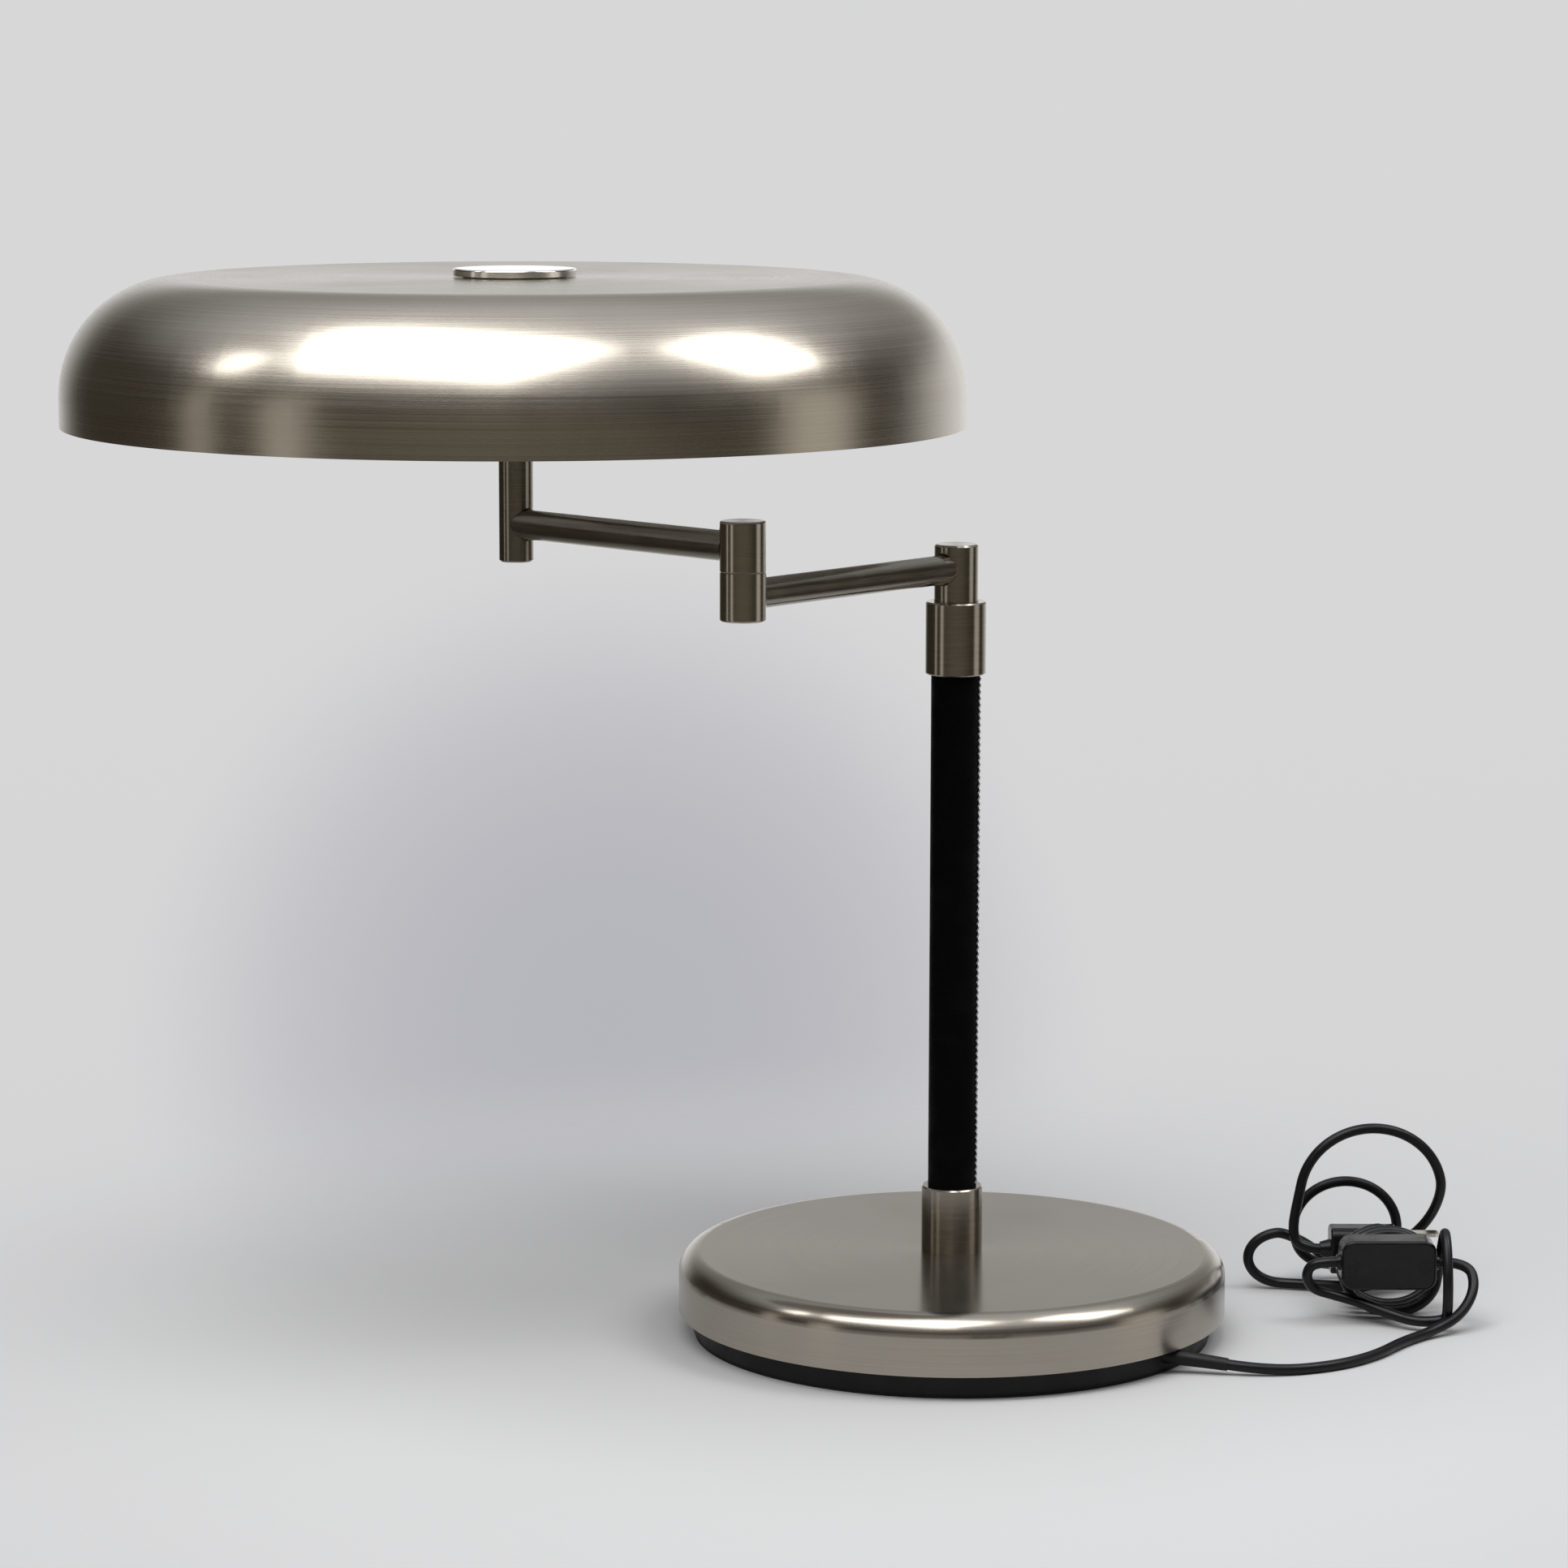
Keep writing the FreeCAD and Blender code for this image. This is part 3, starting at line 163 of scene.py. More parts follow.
def bumped(tree, shader, height, distance, strength=1.0):
    """Bump from a height socket, into the shader's normal."""
    made = add(tree, "ShaderNodeBump")
    made.inputs["Strength"].default_value = strength
    made.inputs["Distance"].default_value = distance
    tree.links.new(height, made.inputs["Height"])
    tree.links.new(made.outputs["Normal"], shader.inputs["Normal"])


def place_from(tree, centre):
    """Object coordinates measured from a point."""
    coordinates = add(tree, "ShaderNodeTexCoord")
    shift = add(tree, "ShaderNodeVectorMath", operation="SUBTRACT")
    tree.links.new(coordinates.outputs["Object"], shift.inputs[0])
    shift.inputs[1].default_value = tuple(centre)
    return shift.outputs["Vector"]


def split(tree, vector):
    """X, Y and Z sockets of a vector."""
    made = add(tree, "ShaderNodeSeparateXYZ")
    tree.links.new(vector, made.inputs["Vector"])
    return made.outputs["X"], made.outputs["Y"], made.outputs["Z"]


def axis_distance(tree, x, y):
    """Distance from the upright axis through the origin."""
    squares = math_node(tree, "ADD", math_node(tree, "MULTIPLY", x, x), math_node(tree, "MULTIPLY", y, y))
    return math_node(tree, "SQRT", squares)


def joined(tree, x, y, z):
    """Vector from three sockets."""
    made = add(tree, "ShaderNodeCombineXYZ")
    for socket, value in zip(made.inputs, (x, y, z)):
        tree.links.new(value, socket)
    return made.outputs["Vector"]


# ---------------------------------------------------------------- materials
def darkened_as_shade(colour, depth):
    """Colour scaled down by a factor, which paints shade as darker copies of one steel."""
    return tuple(value * depth for value in colour)


def turned_steel(name, centre, roughness, spread, depth=1.0):
    """Steel brushed in rings about an upright axis, with faint stains and rubbed patches; depth darkens all
    its colours as painted shade.
    """
    material, tree, shader = new_material(name)
    place = place_from(tree, centre)
    x, y, z = split(tree, place)
    creep = math_node(tree, "MULTIPLY", math_node(tree, "ARCTAN2", y, x), RING_CREEP)
    ringed = joined(tree, axis_distance(tree, x, y), z, creep)
    rings = noise(tree, ringed, RING_GRAIN, 3.0, 0.6)
    coarse = noise(tree, ringed, RING_GRAIN / RING_COARSER, 2.0, 0.5)
    cloud = noise(tree, place, STAIN_GRAIN, 3.0, 0.55)
    tone = math_node(tree, "ADD", math_node(tree, "MULTIPLY", rings, 0.9),
                     math_node(tree, "MULTIPLY", coarse, 0.1))
    # painted shade: both ring colours and the stain colour are darkened by depth
    colour = blended(tree, ranged(tree, tone, 0.25, 0.75, 0.0, 1.0), darkened_as_shade(STEEL_DARK, depth),
                     darkened_as_shade(STEEL_LIGHT, depth))
    colour = blended(tree, ranged(tree, cloud, 0.35, 0.75, 0.0, 0.22), colour, darkened_as_shade(STEEL, depth))
    tree.links.new(colour, shader.inputs["Base Color"])
    rough = math_node(tree, "ADD", ranged(tree, rings, 0.3, 0.7, roughness - 0.025, roughness + 0.025),
                      ranged(tree, cloud, 0.4, 0.8, 0.0, 0.03))
    tree.links.new(rough, shader.inputs["Roughness"])
    shader.inputs["Metallic"].default_value = 1.0
    shader.inputs["Anisotropic"].default_value = spread
    shader.inputs["Anisotropic Rotation"].default_value = 0.25
    tangent = add(tree, "ShaderNodeTangent", direction_type="RADIAL", axis="Z")
    tree.links.new(tangent.outputs["Tangent"], shader.inputs["Tangent"])
    bumped(tree, shader, rings, BRUSH_DEPTH, BRUSH_STRENGTH)
    return material, tree, shader, place


def shade_material():
    """Ring-brushed steel outside and white enamel inside the shade."""
    material, tree, shader, place = turned_steel("shade_steel", SHADE_AXIS, 0.26, 0.4)
    inner = Vector((SHADE_AXIS.x, SHADE_AXIS.y, RIM + 5 * MM))
    from_inside = place_from(tree, inner)
    coordinates = add(tree, "ShaderNodeTexCoord")
    facing = add(tree, "ShaderNodeVectorMath", operation="DOT_PRODUCT")
    tree.links.new(from_inside, facing.inputs[0])
    tree.links.new(coordinates.outputs["Normal"], facing.inputs[1])
    inside = math_node(tree, "LESS_THAN", facing.outputs["Value"], -2 * MM)
    enamel = add(tree, "ShaderNodeBsdfPrincipled")
    enamel.inputs["Base Color"].default_value = (*ENAMEL, 1)
    enamel.inputs["Roughness"].default_value = 0.38
    dust = noise(tree, place, 900.0, 3.0)
    bumped(tree, enamel, dust, 0.02 * MM, 0.4)
    mixed = add(tree, "ShaderNodeMixShader")
    tree.links.new(inside, mixed.inputs["Fac"])
    tree.links.new(shader.outputs["BSDF"], mixed.inputs[1])
    tree.links.new(enamel.outputs["BSDF"], mixed.inputs[2])
    tree.links.new(mixed.outputs["Shader"], tree.nodes["Material Output"].inputs["Surface"])
    return material


def drawn_steel(name, direction, roughness):
    """Steel tube with its grain along its length."""
    material, tree, shader = new_material(name)
    place = place_from(tree, COLUMN)
    across = UP.cross(direction)
    turn = Matrix((direction, across, UP))
    mapping = add(tree, "ShaderNodeMapping")
    mapping.inputs["Rotation"].default_value = turn.to_euler()
    tree.links.new(place, mapping.inputs["Vector"])
    x, y, z = split(tree, mapping.outputs["Vector"])
    stretched = joined(tree, math_node(tree, "MULTIPLY", x, DRAWN_STRETCH), y, z)
    streak = noise(tree, stretched, DRAWN_GRAIN, 3.0, 0.6)
    cloud = noise(tree, place, 60.0, 2.0)
    # painted shade: the tube's streak colours are darkened against the shade's steel
    colour = blended(tree, ranged(tree, streak, 0.25, 0.75, 0.0, 1.0), darkened_as_shade(STEEL_DARK, DRAWN_PAINTED_SHADE),
                     darkened_as_shade(STEEL_LIGHT, DRAWN_PAINTED_SHADE))
    tree.links.new(colour, shader.inputs["Base Color"])
    rough = math_node(tree, "ADD", ranged(tree, streak, 0.3, 0.7, roughness - 0.02, roughness + 0.02),
                      ranged(tree, cloud, 0.4, 0.7, 0.0, 0.03))
    tree.links.new(rough, shader.inputs["Roughness"])
    shader.inputs["Metallic"].default_value = 1.0
    bumped(tree, shader, streak, BRUSH_DEPTH, BRUSH_STRENGTH)
    return material


def plain_metal(name, colour, roughness, scale=400.0):
    """Plated or polished metal with slight unevenness."""
    material, tree, shader = new_material(name)
    place = place_from(tree, COLUMN)
    cloud = noise(tree, place, scale, 3.0)
    darker = tuple(value * 0.9 for value in colour)
    tree.links.new(blended(tree, cloud, darker, colour), shader.inputs["Base Color"])
    rough = ranged(tree, cloud, 0.3, 0.7, roughness * 0.8, roughness * 1.25)
    tree.links.new(rough, shader.inputs["Roughness"])
    shader.inputs["Metallic"].default_value = 1.0
    return material


def leather():
    """Black leather with a fine grain and slightly rubbed high spots."""
    material, tree, shader = new_material("black_leather")
    place = place_from(tree, COLUMN)
    pores = add(tree, "ShaderNodeTexVoronoi", feature="DISTANCE_TO_EDGE")
    pores.inputs["Scale"].default_value = 1500.0
    tree.links.new(place, pores.inputs["Vector"])
    creases = noise(tree, place, 700.0, 4.0, 0.6)
    rubbed = noise(tree, place, 90.0, 3.0)
    height = math_node(tree, "ADD", ranged(tree, pores.outputs["Distance"], 0.0, 0.22, 0.0, 1.0), creases)
    colour = blended(tree, ranged(tree, rubbed, 0.4, 0.75, 0.0, 1.0), (0.0015, 0.0015, 0.0016),
                     (0.003, 0.003, 0.0032))
    tree.links.new(colour, shader.inputs["Base Color"])
    tree.links.new(ranged(tree, rubbed, 0.35, 0.7, 0.58, 0.44), shader.inputs["Roughness"])
    shader.inputs["Specular IOR Level"].default_value = 0.04
    bumped(tree, shader, height, 0.07 * MM, 0.6)
    return material


def moulded(name, colour, roughness, grain=1400.0, depth=0.02):
    """Moulded plastic or rubber with a fine texture and faint scuffs."""
    material, tree, shader = new_material(name)
    place = place_from(tree, COLUMN)
    fine = noise(tree, place, grain, 3.0, 0.6)
    scuffs = noise(tree, place, 110.0, 4.0, 0.6)
    lighter = tuple(value * 1.4 + 0.002 for value in colour)
    tree.links.new(blended(tree, ranged(tree, scuffs, 0.5, 0.8, 0.0, 0.7), colour, lighter),
                   shader.inputs["Base Color"])
    tree.links.new(ranged(tree, scuffs, 0.35, 0.7, roughness - 0.05, roughness + 0.08),
                   shader.inputs["Roughness"])
    shader.inputs["Specular IOR Level"].default_value = 0.25
    bumped(tree, shader, fine, depth * MM, 0.5)
    return material


def frosted_glass():
    """Bulb glass with an inner frosting."""
    material, tree, shader = new_material("frosted_glass")
    cloud = noise(tree, place_from(tree, COLUMN), 300.0, 2.0)
    colour = blended(tree, cloud, (0.86, 0.86, 0.84), (0.93, 0.93, 0.91))
    tree.links.new(colour, shader.inputs["Base Color"])
    shader.inputs["Roughness"].default_value = 0.22
    shader.inputs["Transmission Weight"].default_value = 0.25
    shader.inputs["Subsurface Weight"].default_value = 0.15
    return material


def stitch_thread():
    """Waxed thread, a little lighter than the leather, with its twist."""
    material, tree, shader = new_material("seam_thread")
    place = place_from(tree, COLUMN)
    twist = noise(tree, place, 2500.0, 2.0)
    colour = blended(tree, twist, (0.10, 0.10, 0.10), (0.30, 0.30, 0.30))
    tree.links.new(colour, shader.inputs["Base Color"])
    shader.inputs["Roughness"].default_value = 0.42
    bumped(tree, shader, twist, 0.04 * MM, 0.6)
    return material


def finish_node(names, material):
    """Gives CAD nodes a material."""
    for name in names:
        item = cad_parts[name]
        if not item.material_slots:
            item.data.materials.append(None)
        for one in item.material_slots:
            one.link = "OBJECT"
            one.material = material


ARM_LOW = (ELBOW_AXIS - COLUMN).to_2d().to_3d().normalized()
ARM_HIGH = (STEM_AXIS - ELBOW_AXIS).to_2d().to_3d().normalized()
BLACK_LEATHER = leather()
THREAD = stitch_thread()
CORD_VINYL = moulded("cord_vinyl", (0.005, 0.005, 0.006), 0.36, 900.0, 0.012)


# Pieces, material, axis, roughness, spread of the highlight, and painted shade: how far each piece's steel
# is darkened against the shade's steel.
TURNED_PIECES = (
    (["base_cover"], "base_steel", COLUMN, 0.22, 0.7, 0.8),
    (["top_collar", "bottom_collar"], "collar_steel", COLUMN, 0.20, 0.6, 0.76),
    (["swivel_post"], "post_steel", COLUMN, 0.20, 0.5, 0.74),
    (["lower_barrel", "lower_barrel_cap", "upper_barrel", "upper_barrel_cap"], "barrel_steel", ELBOW_AXIS,
     0.20, 0.5, 0.85),
    (["shade_stem"], "stem_steel", STEM_AXIS, 0.20, 0.5, 0.6),
)
ARM_ROUGHNESS = 0.17
ZINC_PIECES = ["tray_screws", "column_tube", "column_washer", "column_nut", "swivel_ring", "elbow_pivot",
               "elbow_spring_washer", "elbow_nut", "shade_nipple", "shade_nut", "shade_washer",
               "lamp_bracket", "bracket_nut", "holder_nuts", "clamp_screws", "terminal_screws"]


def dress_nodes():
    """Finishes of all the CAD nodes that show as they are."""
    finish_node(["shade"], shade_material())
    for names, name, axis, roughness, spread, depth in TURNED_PIECES:
        finish_node(names, turned_steel(name, axis, roughness, spread, depth)[0])
    finish_node(["lower_arm"], drawn_steel("lower_arm_steel", ARM_LOW, ARM_ROUGHNESS))
    finish_node(["upper_arm"], drawn_steel("upper_arm_steel", ARM_HIGH, ARM_ROUGHNESS))
    finish_node(["finial"], plain_metal("finial_chrome", CHROME, 0.05))
    finish_node(["leather_sleeve"], BLACK_LEATHER)
    finish_node(["base_tray", "cord_gland", "cord_clamp"],
                moulded("black_plastic", (0.006, 0.006, 0.0065), 0.48))
    finish_node(["base_pad"], moulded("black_rubber", (0.008, 0.008, 0.008), 0.62, 700.0, 0.05))
    finish_node(["base_weight"], moulded("cast_iron", (0.10, 0.10, 0.105), 0.6, 500.0, 0.15))
    finish_node(ZINC_PIECES, plain_metal("zinc_plate", ZINC, 0.32))
    finish_node(["switch_screws"], plain_metal("black_screw", (0.03, 0.03, 0.032), 0.35))
    finish_node(["bulb_cap_left", "bulb_cap_right"], plain_metal("bulb_cap", (0.72, 0.71, 0.68), 0.3))
    finish_node(["swivel_bush", "thrust_washer", "elbow_washer"],
                moulded("nylon", (0.62, 0.60, 0.54), 0.45))
    finish_node(["finial_washer"], moulded("clear_vinyl", (0.42, 0.42, 0.40), 0.3))
    finish_node(["lampholder_left", "lampholder_right", "terminal_block"],
                moulded("holder_plastic", (0.72, 0.71, 0.68), 0.32))
    finish_node(["bulb_glass_left", "bulb_glass_right"], frosted_glass())
    finish_node(["lower_arm_lead", "upper_arm_lead", "column_lead", "base_cord"], CORD_VINYL)
    finish_node(["holder_leads"], moulded("silicone_sleeve", (0.36, 0.06, 0.05), 0.5))
    finish_node(["switch_base", "switch_cover", "plug_body"],
                moulded("switch_plastic", (0.005, 0.005, 0.006), 0.25, 1200.0, 0.01))
    finish_node(["switch_rocker"], moulded("rocker_plastic", (0.006, 0.006, 0.007), 0.22, 1200.0, 0.008))
    finish_node(["plug_pins", "switch_contacts"], plain_metal("nickel_pin", NICKEL, 0.2))


# ---------------------------------------------------------------- leather seam
def new_piece(name, mesh, material, body):
    """Mesh object that rides on a body."""
    item = bpy.data.objects.new(name, mesh)
    bpy.context.scene.collection.objects.link(item)
    mesh.materials.append(material)
    for face in mesh.polygons:
        face.use_smooth = True
    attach(item, body)
    return item


def sleeve_sizes():
    """Radius of the leather sleeve, and the heights between which it shows."""
    low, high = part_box("leather_sleeve")
    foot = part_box("bottom_collar")[1][2]
    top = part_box("top_collar")[0][2]
    return (high[0] - low[0]) / 2, foot, top


def make_seam():
    """Two turned-in edges of the leather, side by side along the seam."""
    radius, foot, top = sleeve_sizes()
    mesh = bpy.data.meshes.new("leather_seam")
    shape = bmesh.new()
    section = []
    for k in range(SEAM_POINTS):
        share = -1 + 2 * k / (SEAM_POINTS - 1)
        groove = 0.15 if k == SEAM_POINTS // 2 else 1.0
        lift = SEAM_LIFT * (1 - abs(share)) ** 0.5 * groove
        section.append((share * SEAM_WIDTH / 2 / radius, radius - 0.05 * MM + lift))
    rings = []
    for j in range(SEAM_ROWS + 1):
        z = foot + (top - foot) * j / SEAM_ROWS
        pull = 1 + 0.05 * math.sin(2 * math.pi * (z - foot) / STITCH_PITCH)
        ring = []
        for turn, reach in section:
            angle = math.radians(SEAM_HEADING) + turn * pull
            ring.append(shape.verts.new((reach * math.cos(angle), reach * math.sin(angle), z)))
        rings.append(ring)
    for low, high in zip(rings, rings[1:]):
        for a, b, c, d in zip(low, low[1:], high[1:], high):
            shape.faces.new((a, b, c, d))
    shape.normal_update()
    shape.to_mesh(mesh)
    shape.free()
    return new_piece("leather_seam", mesh, BLACK_LEATHER, "base")


def add_capsule(shape, start, end, radius):
    """Short round-ended thread between two points."""
    along = end - start
    turn = along.to_track_quat("Z", "Y").to_matrix().to_4x4()
    centre = (start + end) / 2
    made = bmesh.ops.create_uvsphere(shape, u_segments=8, v_segments=8, radius=radius)
    for vertex in made["verts"]:
        push = along.length / 2 if vertex.co.z > 0 else -along.length / 2
        vertex.co.z += push if abs(vertex.co.z) > radius * 0.01 else 0.0
        vertex.co = centre + (turn @ vertex.co)


def make_stitches():
    """Stitches that lace the seam from end to end."""
    radius, foot, top = sleeve_sizes()
    mesh = bpy.data.meshes.new("seam_stitches")
    shape = bmesh.new()
    out = heading(SEAM_HEADING)
    side = heading(SEAM_HEADING + 90)
    count = int((top - foot) / STITCH_PITCH)
    margin = (top - foot - (count - 1) * STITCH_PITCH) / 2
    reach = radius + SEAM_LIFT * 0.75
    half = SEAM_WIDTH * 0.33
    for k in range(count):
        z = foot + margin + k * STITCH_PITCH
        start = out * reach - side * half + UP * (z - STITCH_SLANT)
        end = out * reach + side * half + UP * (z + STITCH_SLANT)
        peak = out * (reach + STITCH_RADIUS * 0.5) + UP * z
        add_capsule(shape, start, peak, STITCH_RADIUS)
        add_capsule(shape, peak, end, STITCH_RADIUS)
    shape.normal_update()
    shape.to_mesh(mesh)
    shape.free()
    return new_piece("seam_stitches", mesh, THREAD, "base")


# ---------------------------------------------------------------- mains cord
GLAND_TIP = mm(104.372, -67.347, 4.092)
GLAND_AXIS = (heading(-10.0) - UP * math.tan(math.radians(6.0))).normalized()
SWITCH_IN = mm(195.5, 12.0, 25.0)
SWITCH_OUT = mm(154.5, 12.0, 25.0)
PLUG_END = mm(153.0, 60.0, 18.7)
LOOP_STEPS = 16              # points in a whole turn

LEAD_POINTS = [GLAND_TIP, GLAND_TIP + GLAND_AXIS * 18.0 * MM] + [
    mm(147.0, -61.5, 2.15),
    mm(164.5, -45.5, 2.15),
    mm(176.5, -26.0, 2.15),
    mm(189.0, -12.0, 2.3),
    mm(202.5, -5.0, 7.2),
    mm(209.5, 4.0, 16.5),
    mm(207.5, 12.0, 25.0),
    SWITCH_IN,
]


def loop(foot, top, half_width, facing, start, quarters, foot_step=(0, 0, 0), top_step=(0, 0, 0)):
    """Points of an oval loop, whose foot and top move on by a step a turn."""
    side = heading(facing) * half_width * MM
    points = []
    steps = quarters * LOOP_STEPS // 4
    for k in range(steps + 1):
        turn = k / LOOP_STEPS
        angle = math.radians(start) + 2 * math.pi * turn
        low = mm(*foot) + mm(*foot_step) * turn
        high = mm(*top) + mm(*top_step) * turn
        points.append((low + high) / 2 + side * math.cos(angle) + (high - low) / 2 * math.sin(angle))
    return points


def hank_points():
    """Route of the gathered cord, from the switch to the plug."""
    straight = Vector((2 * CORD_RADIUS, 0, 0))
    points = [SWITCH_OUT, SWITCH_OUT - straight]
    points += [mm(144.0, 12.4, 23.6), mm(142.6, 14.0, 18.0), mm(146.0, 16.6, 12.6), mm(154.0, 15.6, 10.6),
               mm(164.0, 12.0, 8.6), mm(176.5, 5.2, 5.0), mm(186.0, -1.0, 3.6)]
    points += loop((197.2, 2.0, 3.4), (197.2, 9.5, 38.5), 10.6, -90, -90, 2)[1:]
    points += loop((178.0, 17.5, 2.4), (178.0, 33.0, 31.0), 19.0, 180, 180, 11, (0, 6.6, 0), (0, 5.0, 0))
    points += [mm(181.0, 48.4, 16.0), mm(174.5, 48.6, 4.8), mm(158.0, 61.6, 2.9)]
    points += loop((138.5, 67.0, 2.4), (138.5, 67.5, 23.8), 14.4, 180, 270, 2, (0, 0, 0), (0, 0.5, 0))
    points += [mm(151.5, 70.0, 17.0)]
    points += loop((165.2, 78.0, 3.2), (165.2, 78.0, 43.2), 21.8, 0, 270, 3)
    points += [mm(147.0, 80.5, 11.0), mm(160.0, 84.0, 4.8), mm(184.0, 84.0, 11.0), mm(199.0, 79.5, 24.0)]
    points += loop((174.6, 74.0, 11.5), (174.6, 74.0, 67.6), 30.2, 0, 0, 2, (0, -20.0, 0), (0, -20.0, 0))
    points += [mm(142.2, 62.4, 29.0), mm(142.6, 60.6, 21.5)]
    points += [PLUG_END - straight, PLUG_END]
    return points


def cord_curve(name, points):
    """Smooth cord along a route: one open spline."""
    curve = bpy.data.curves.new(name, "CURVE")
    curve.dimensions = "3D"
    spline = curve.splines.new("NURBS")
    spline.points.add(len(points) - 1)
    for control, place in zip(spline.points, points):
        control.co = (*place, 1)
    spline.order_u = 3
    spline.use_endpoint_u = True
    spline.resolution_u = 8
    curve.bevel_depth = CORD_RADIUS
    curve.bevel_resolution = 5
    curve.use_fill_caps = True
    curve.materials.append(CORD_VINYL)
    item = bpy.data.objects.new(name, curve)
    bpy.context.scene.collection.objects.link(item)
    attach(item, "base")
    return item


def make_cords():
    """The free stretch to the switch, and the hank from the switch to the plug."""
    lead = cord_curve("mains_cord_lead", LEAD_POINTS)
    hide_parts("power_cord_lead")
    points = hank_points()
    hank = cord_curve("mains_cord_hank", points)
    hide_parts("power_cord_hank")


# ---------------------------------------------------------------- floor, light and camera
FLOOR_RADIUS = 1.2
FLOOR_FADE = (0.19, 0.58)    # distances from the column between which the floor clears
FLOOR_COLOUR = (0.475, 0.475, 0.475)
BACKGROUND_LOW = (0.66, 0.66, 0.67)
BACKGROUND_HIGH = (0.68, 0.68, 0.685)
BACKGROUND_SHADOW = (0.46, 0.46, 0.50)
SHADOW_HEADING = Vector((-0.034, 0.982, -0.196))
SHADOW_SPREAD = (0.9950, 1.0005)               # cosines, from the shadow's edge to its middle
ROOM_DARK = (0.055, 0.047, 0.035)
ROOM_BRIGHT = (1.05, 1.05, 1.06)
ROOM_MIDDLE = (0.34, 0.33, 0.32)
ROOM_ABOVE = (0.76, 0.78, 0.83)
ROOM_BELOW = (0.17, 0.155, 0.125)
WALL_ACROSS = (0.3, 0.95)    # how far a direction points at the wall, from dark to bright
WALL_UP = (0.08, 0.32)       # its upward part, from the bright wall to the dimmer one above
STRIP_BRIGHT = (0.72, 0.69, 0.63)
STRIP_UP = (0.15, 0.45)      # its upward part, where the bright strips end
STRIPS = ((84.0, 12.0), (-56.0, 6.0), (-82.0, 4.0))    # azimuth from the front and half width, degrees

# Name, azimuth and elevation in degrees, distance, width and height in metres, watts.
LIGHTS = (
    ("key", -31, 62, 2.3, 2.2, 1.8, 66.0),
    ("right", 81, 49, 2.2, 0.9, 1.2, 20.0),
    ("left", -80, 36, 2.0, 0.25, 0.5, 2.5),
)
LIGHT_TARGET = Vector((-0.08, 0, 0.30))


def make_floor():
    """Pale disc that fades into the background away from the lamp."""
    mesh = bpy.data.meshes.new("floor")
    shape = bmesh.new()
    bmesh.ops.create_circle(shape, cap_ends=True, radius=FLOOR_RADIUS, segments=96)
    shape.to_mesh(mesh)
    shape.free()
    item = bpy.data.objects.new("floor", mesh)
    bpy.context.scene.collection.objects.link(item)
    material, tree, shader = new_material("floor_paper")
    x, y, _ = split(tree, place_from(tree, COLUMN))
    shader.inputs["Base Color"].default_value = (*FLOOR_COLOUR, 1)
    shader.inputs["Roughness"].default_value = 0.75
    shader.inputs["Specular IOR Level"].default_value = 0.15
    clear = add(tree, "ShaderNodeBsdfTransparent")
    mixed = add(tree, "ShaderNodeMixShader")
    tree.links.new(ranged(tree, axis_distance(tree, x, y), *FLOOR_FADE, 0.0, 1.0), mixed.inputs["Fac"])
    tree.links.new(shader.outputs["BSDF"], mixed.inputs[1])
    tree.links.new(clear.outputs["BSDF"], mixed.inputs[2])
    tree.links.new(mixed.outputs["Shader"], tree.nodes["Material Output"].inputs["Surface"])
    mesh.materials.append(material)


def seen_backdrop(tree, direction, z):
    """Pale background that the camera sees, with a soft shadow behind the column."""
    seen = blended(tree, ranged(tree, z, -0.26, -0.10, 0.0, 1.0), BACKGROUND_LOW, BACKGROUND_HIGH)
    shadow = add(tree, "ShaderNodeVectorMath", operation="DOT_PRODUCT")
    tree.links.new(direction, shadow.inputs[0])
    shadow.inputs[1].default_value = tuple(SHADOW_HEADING.normalized())
    return blended(tree, ranged(tree, shadow.outputs["Value"], *SHADOW_SPREAD, 0.0, 1.0), seen,
                   BACKGROUND_SHADOW)


def lit_room(tree, x, y, z):
    """Room that lights the lamp: bright wall behind, dark sides with upright bright strips, pale ceiling."""
    leftward = math_node(tree, "MAXIMUM", math_node(tree, "MULTIPLY", x, -0.6), 0.0)
    wallward = math_node(tree, "SUBTRACT", y, leftward)
    wall = blended(tree, ranged(tree, z, *WALL_UP, 0.0, 1.0), ROOM_BRIGHT, ROOM_MIDDLE)
    room = blended(tree, ranged(tree, wallward, *WALL_ACROSS, 0.0, 1.0), ROOM_DARK, wall)
    table = ranged(tree, math_node(tree, "ADD", z, y), -0.5, -1.2, 0.0, 1.0)
    room = blended(tree, table, room, ROOM_BELOW)
    around = math_node(tree, "ARCTAN2", x, math_node(tree, "MULTIPLY", y, -1.0))
    low = ranged(tree, z, *STRIP_UP, 1.0, 0.0)
    for azimuth, half in STRIPS:
        away = math_node(tree, "ABSOLUTE", math_node(tree, "SUBTRACT", around, math.radians(azimuth)))
        strip = ranged(tree, away, math.radians(half * 0.5), math.radians(half * 1.4), 1.0, 0.0)
        room = blended(tree, math_node(tree, "MULTIPLY", strip, low), room, STRIP_BRIGHT)
    return blended(tree, ranged(tree, z, 0.35, 0.95, 0.0, 1.0), room, ROOM_ABOVE)


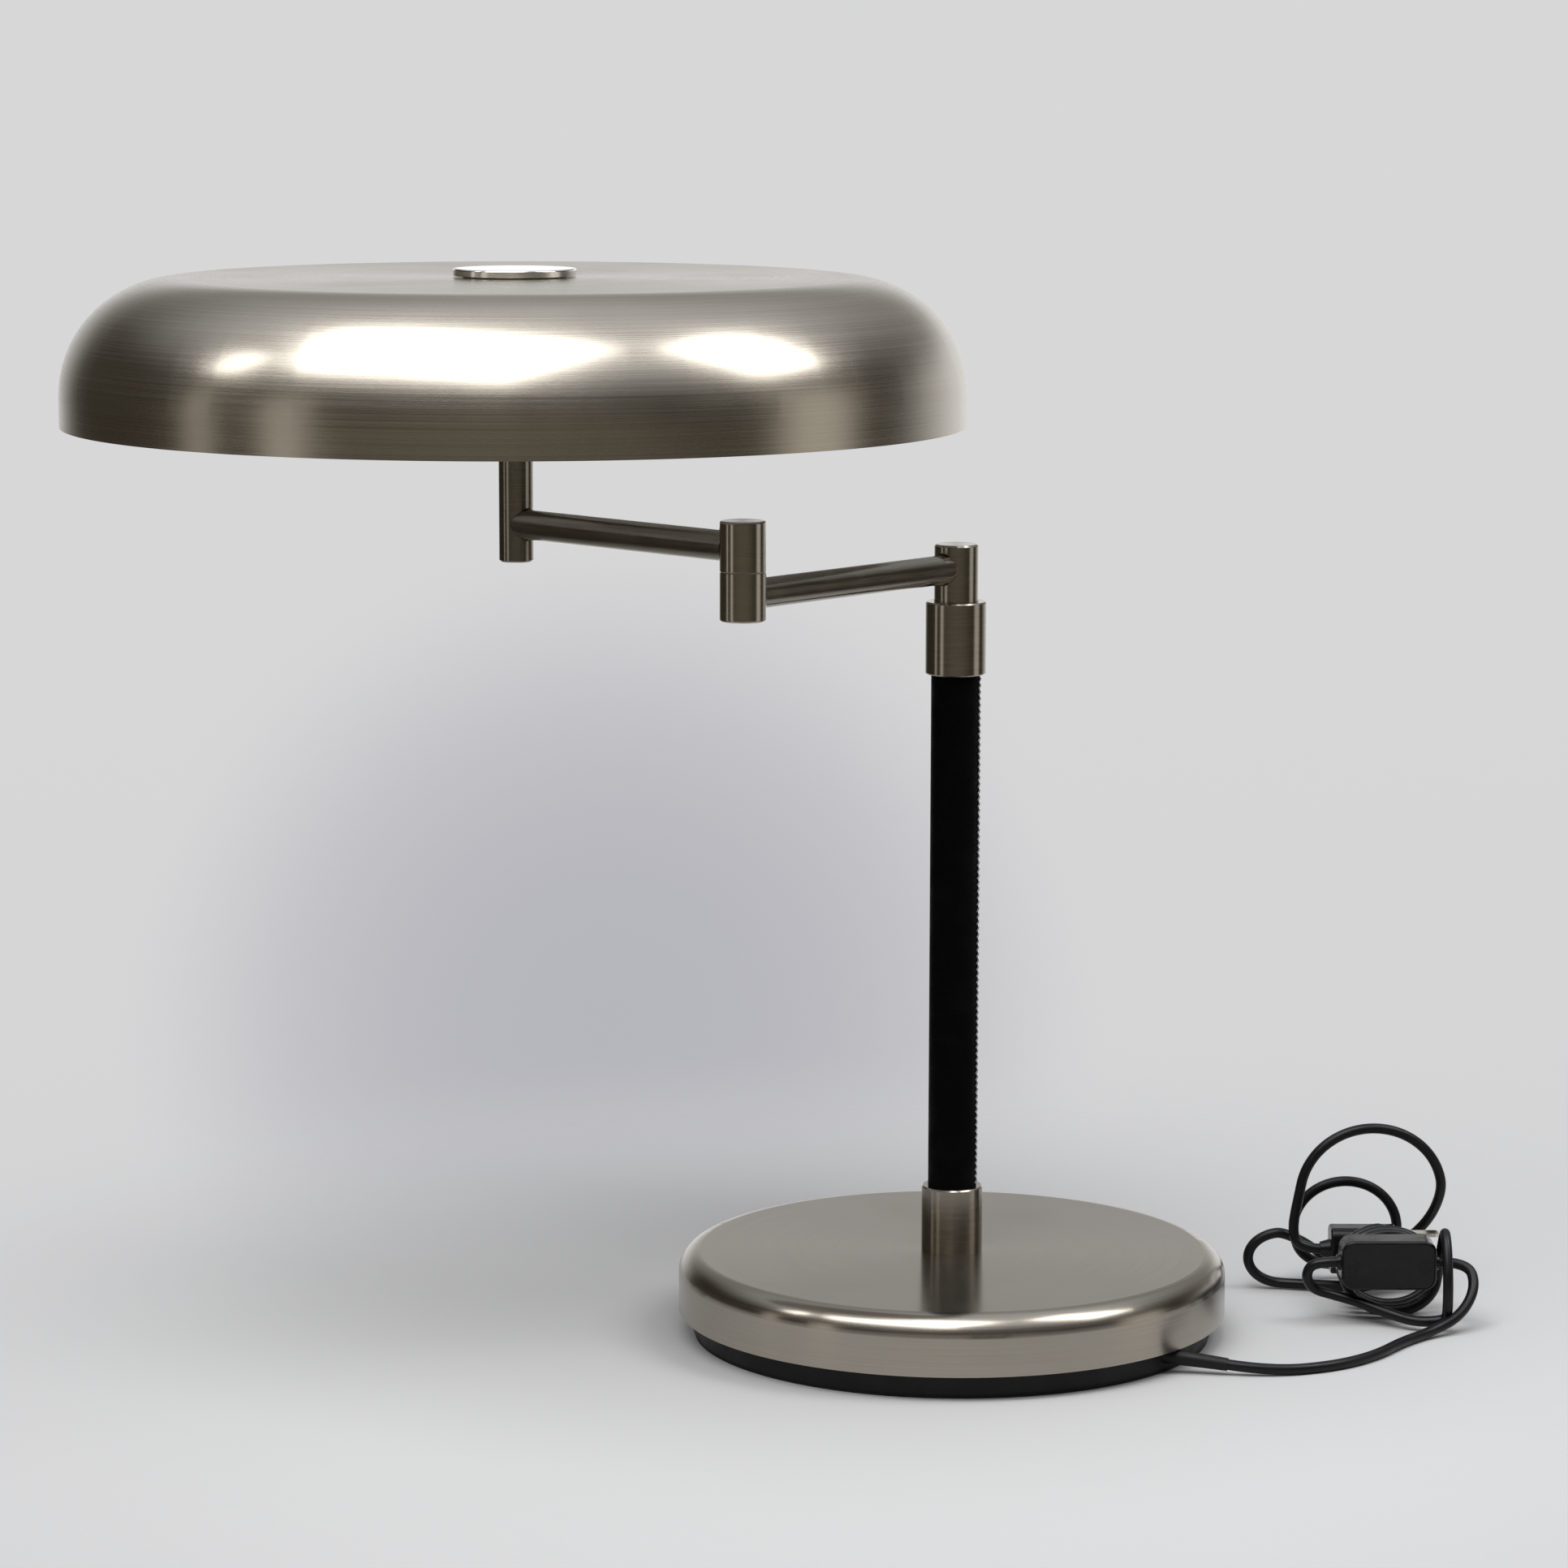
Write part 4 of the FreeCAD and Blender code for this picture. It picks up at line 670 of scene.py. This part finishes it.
def make_world():
    """The background for what is seen directly, and the room for what the lamp reflects."""
    world = bpy.data.worlds.new("studio")
    world.use_nodes = True
    tree = world.node_tree
    background = tree.nodes["Background"]
    direction = add(tree, "ShaderNodeTexCoord").outputs["Generated"]
    x, y, z = split(tree, direction)
    path = add(tree, "ShaderNodeLightPath")
    direct = math_node(tree, "MAXIMUM", path.outputs["Is Camera Ray"], path.outputs["Is Transmission Ray"])
    colour = blended(tree, direct, lit_room(tree, x, y, z), seen_backdrop(tree, direction, z))
    tree.links.new(colour, background.inputs["Color"])
    background.inputs["Strength"].default_value = 1.0
    bpy.context.scene.world = world


def make_light(name, azimuth, elevation, distance, width, height, power):
    """Area lamp that faces the shade; azimuth 0 is in front, and 90 at the right."""
    data = bpy.data.lights.new(name, "AREA")
    data.shape = "RECTANGLE"
    data.size = width
    data.size_y = height
    data.energy = power
    item = bpy.data.objects.new(name, data)
    bpy.context.scene.collection.objects.link(item)
    level = math.cos(math.radians(elevation))
    out = Vector((math.sin(math.radians(azimuth)) * level, -math.cos(math.radians(azimuth)) * level,
                  math.sin(math.radians(elevation))))
    item.location = LIGHT_TARGET + out * distance
    item.rotation_euler = out.to_track_quat("Z", "Y").to_euler()


def make_lights():
    """A large soft lamp in front, another at the right and a small one at the left."""
    for light in LIGHTS:
        make_light(*light)


CAMERA_PLACE = Vector((-0.0670, -1.9511, 0.5131))
CAMERA_PITCH = 8.546         # degrees down
CAMERA_ROLL = 0.109
CAMERA_LENS = 115.48


def make_camera():
    """Camera at the photograph's place."""
    data = bpy.data.cameras.new("camera")
    data.lens = CAMERA_LENS
    data.sensor_width = 36.0
    item = bpy.data.objects.new("camera", data)
    bpy.context.scene.collection.objects.link(item)
    pitch = math.radians(CAMERA_PITCH)
    roll = math.radians(CAMERA_ROLL)
    forward = Vector((0, math.cos(pitch), -math.sin(pitch)))
    level = Vector((1, 0, 0))
    upward = Vector((0, math.sin(pitch), math.cos(pitch)))
    right = level * math.cos(roll) + upward * math.sin(roll)
    top = upward * math.cos(roll) - level * math.sin(roll)
    turn = Matrix((right, top, -forward)).transposed()
    item.matrix_world = Matrix.Translation(CAMERA_PLACE) @ turn.to_4x4()
    bpy.context.scene.camera = item


# ---------------------------------------------------------------- build
dress_nodes()
make_seam()
make_stitches()
make_cords()
make_floor()
make_world()
make_lights()
make_camera()
bpy.context.scene.view_settings.view_transform = "Standard"
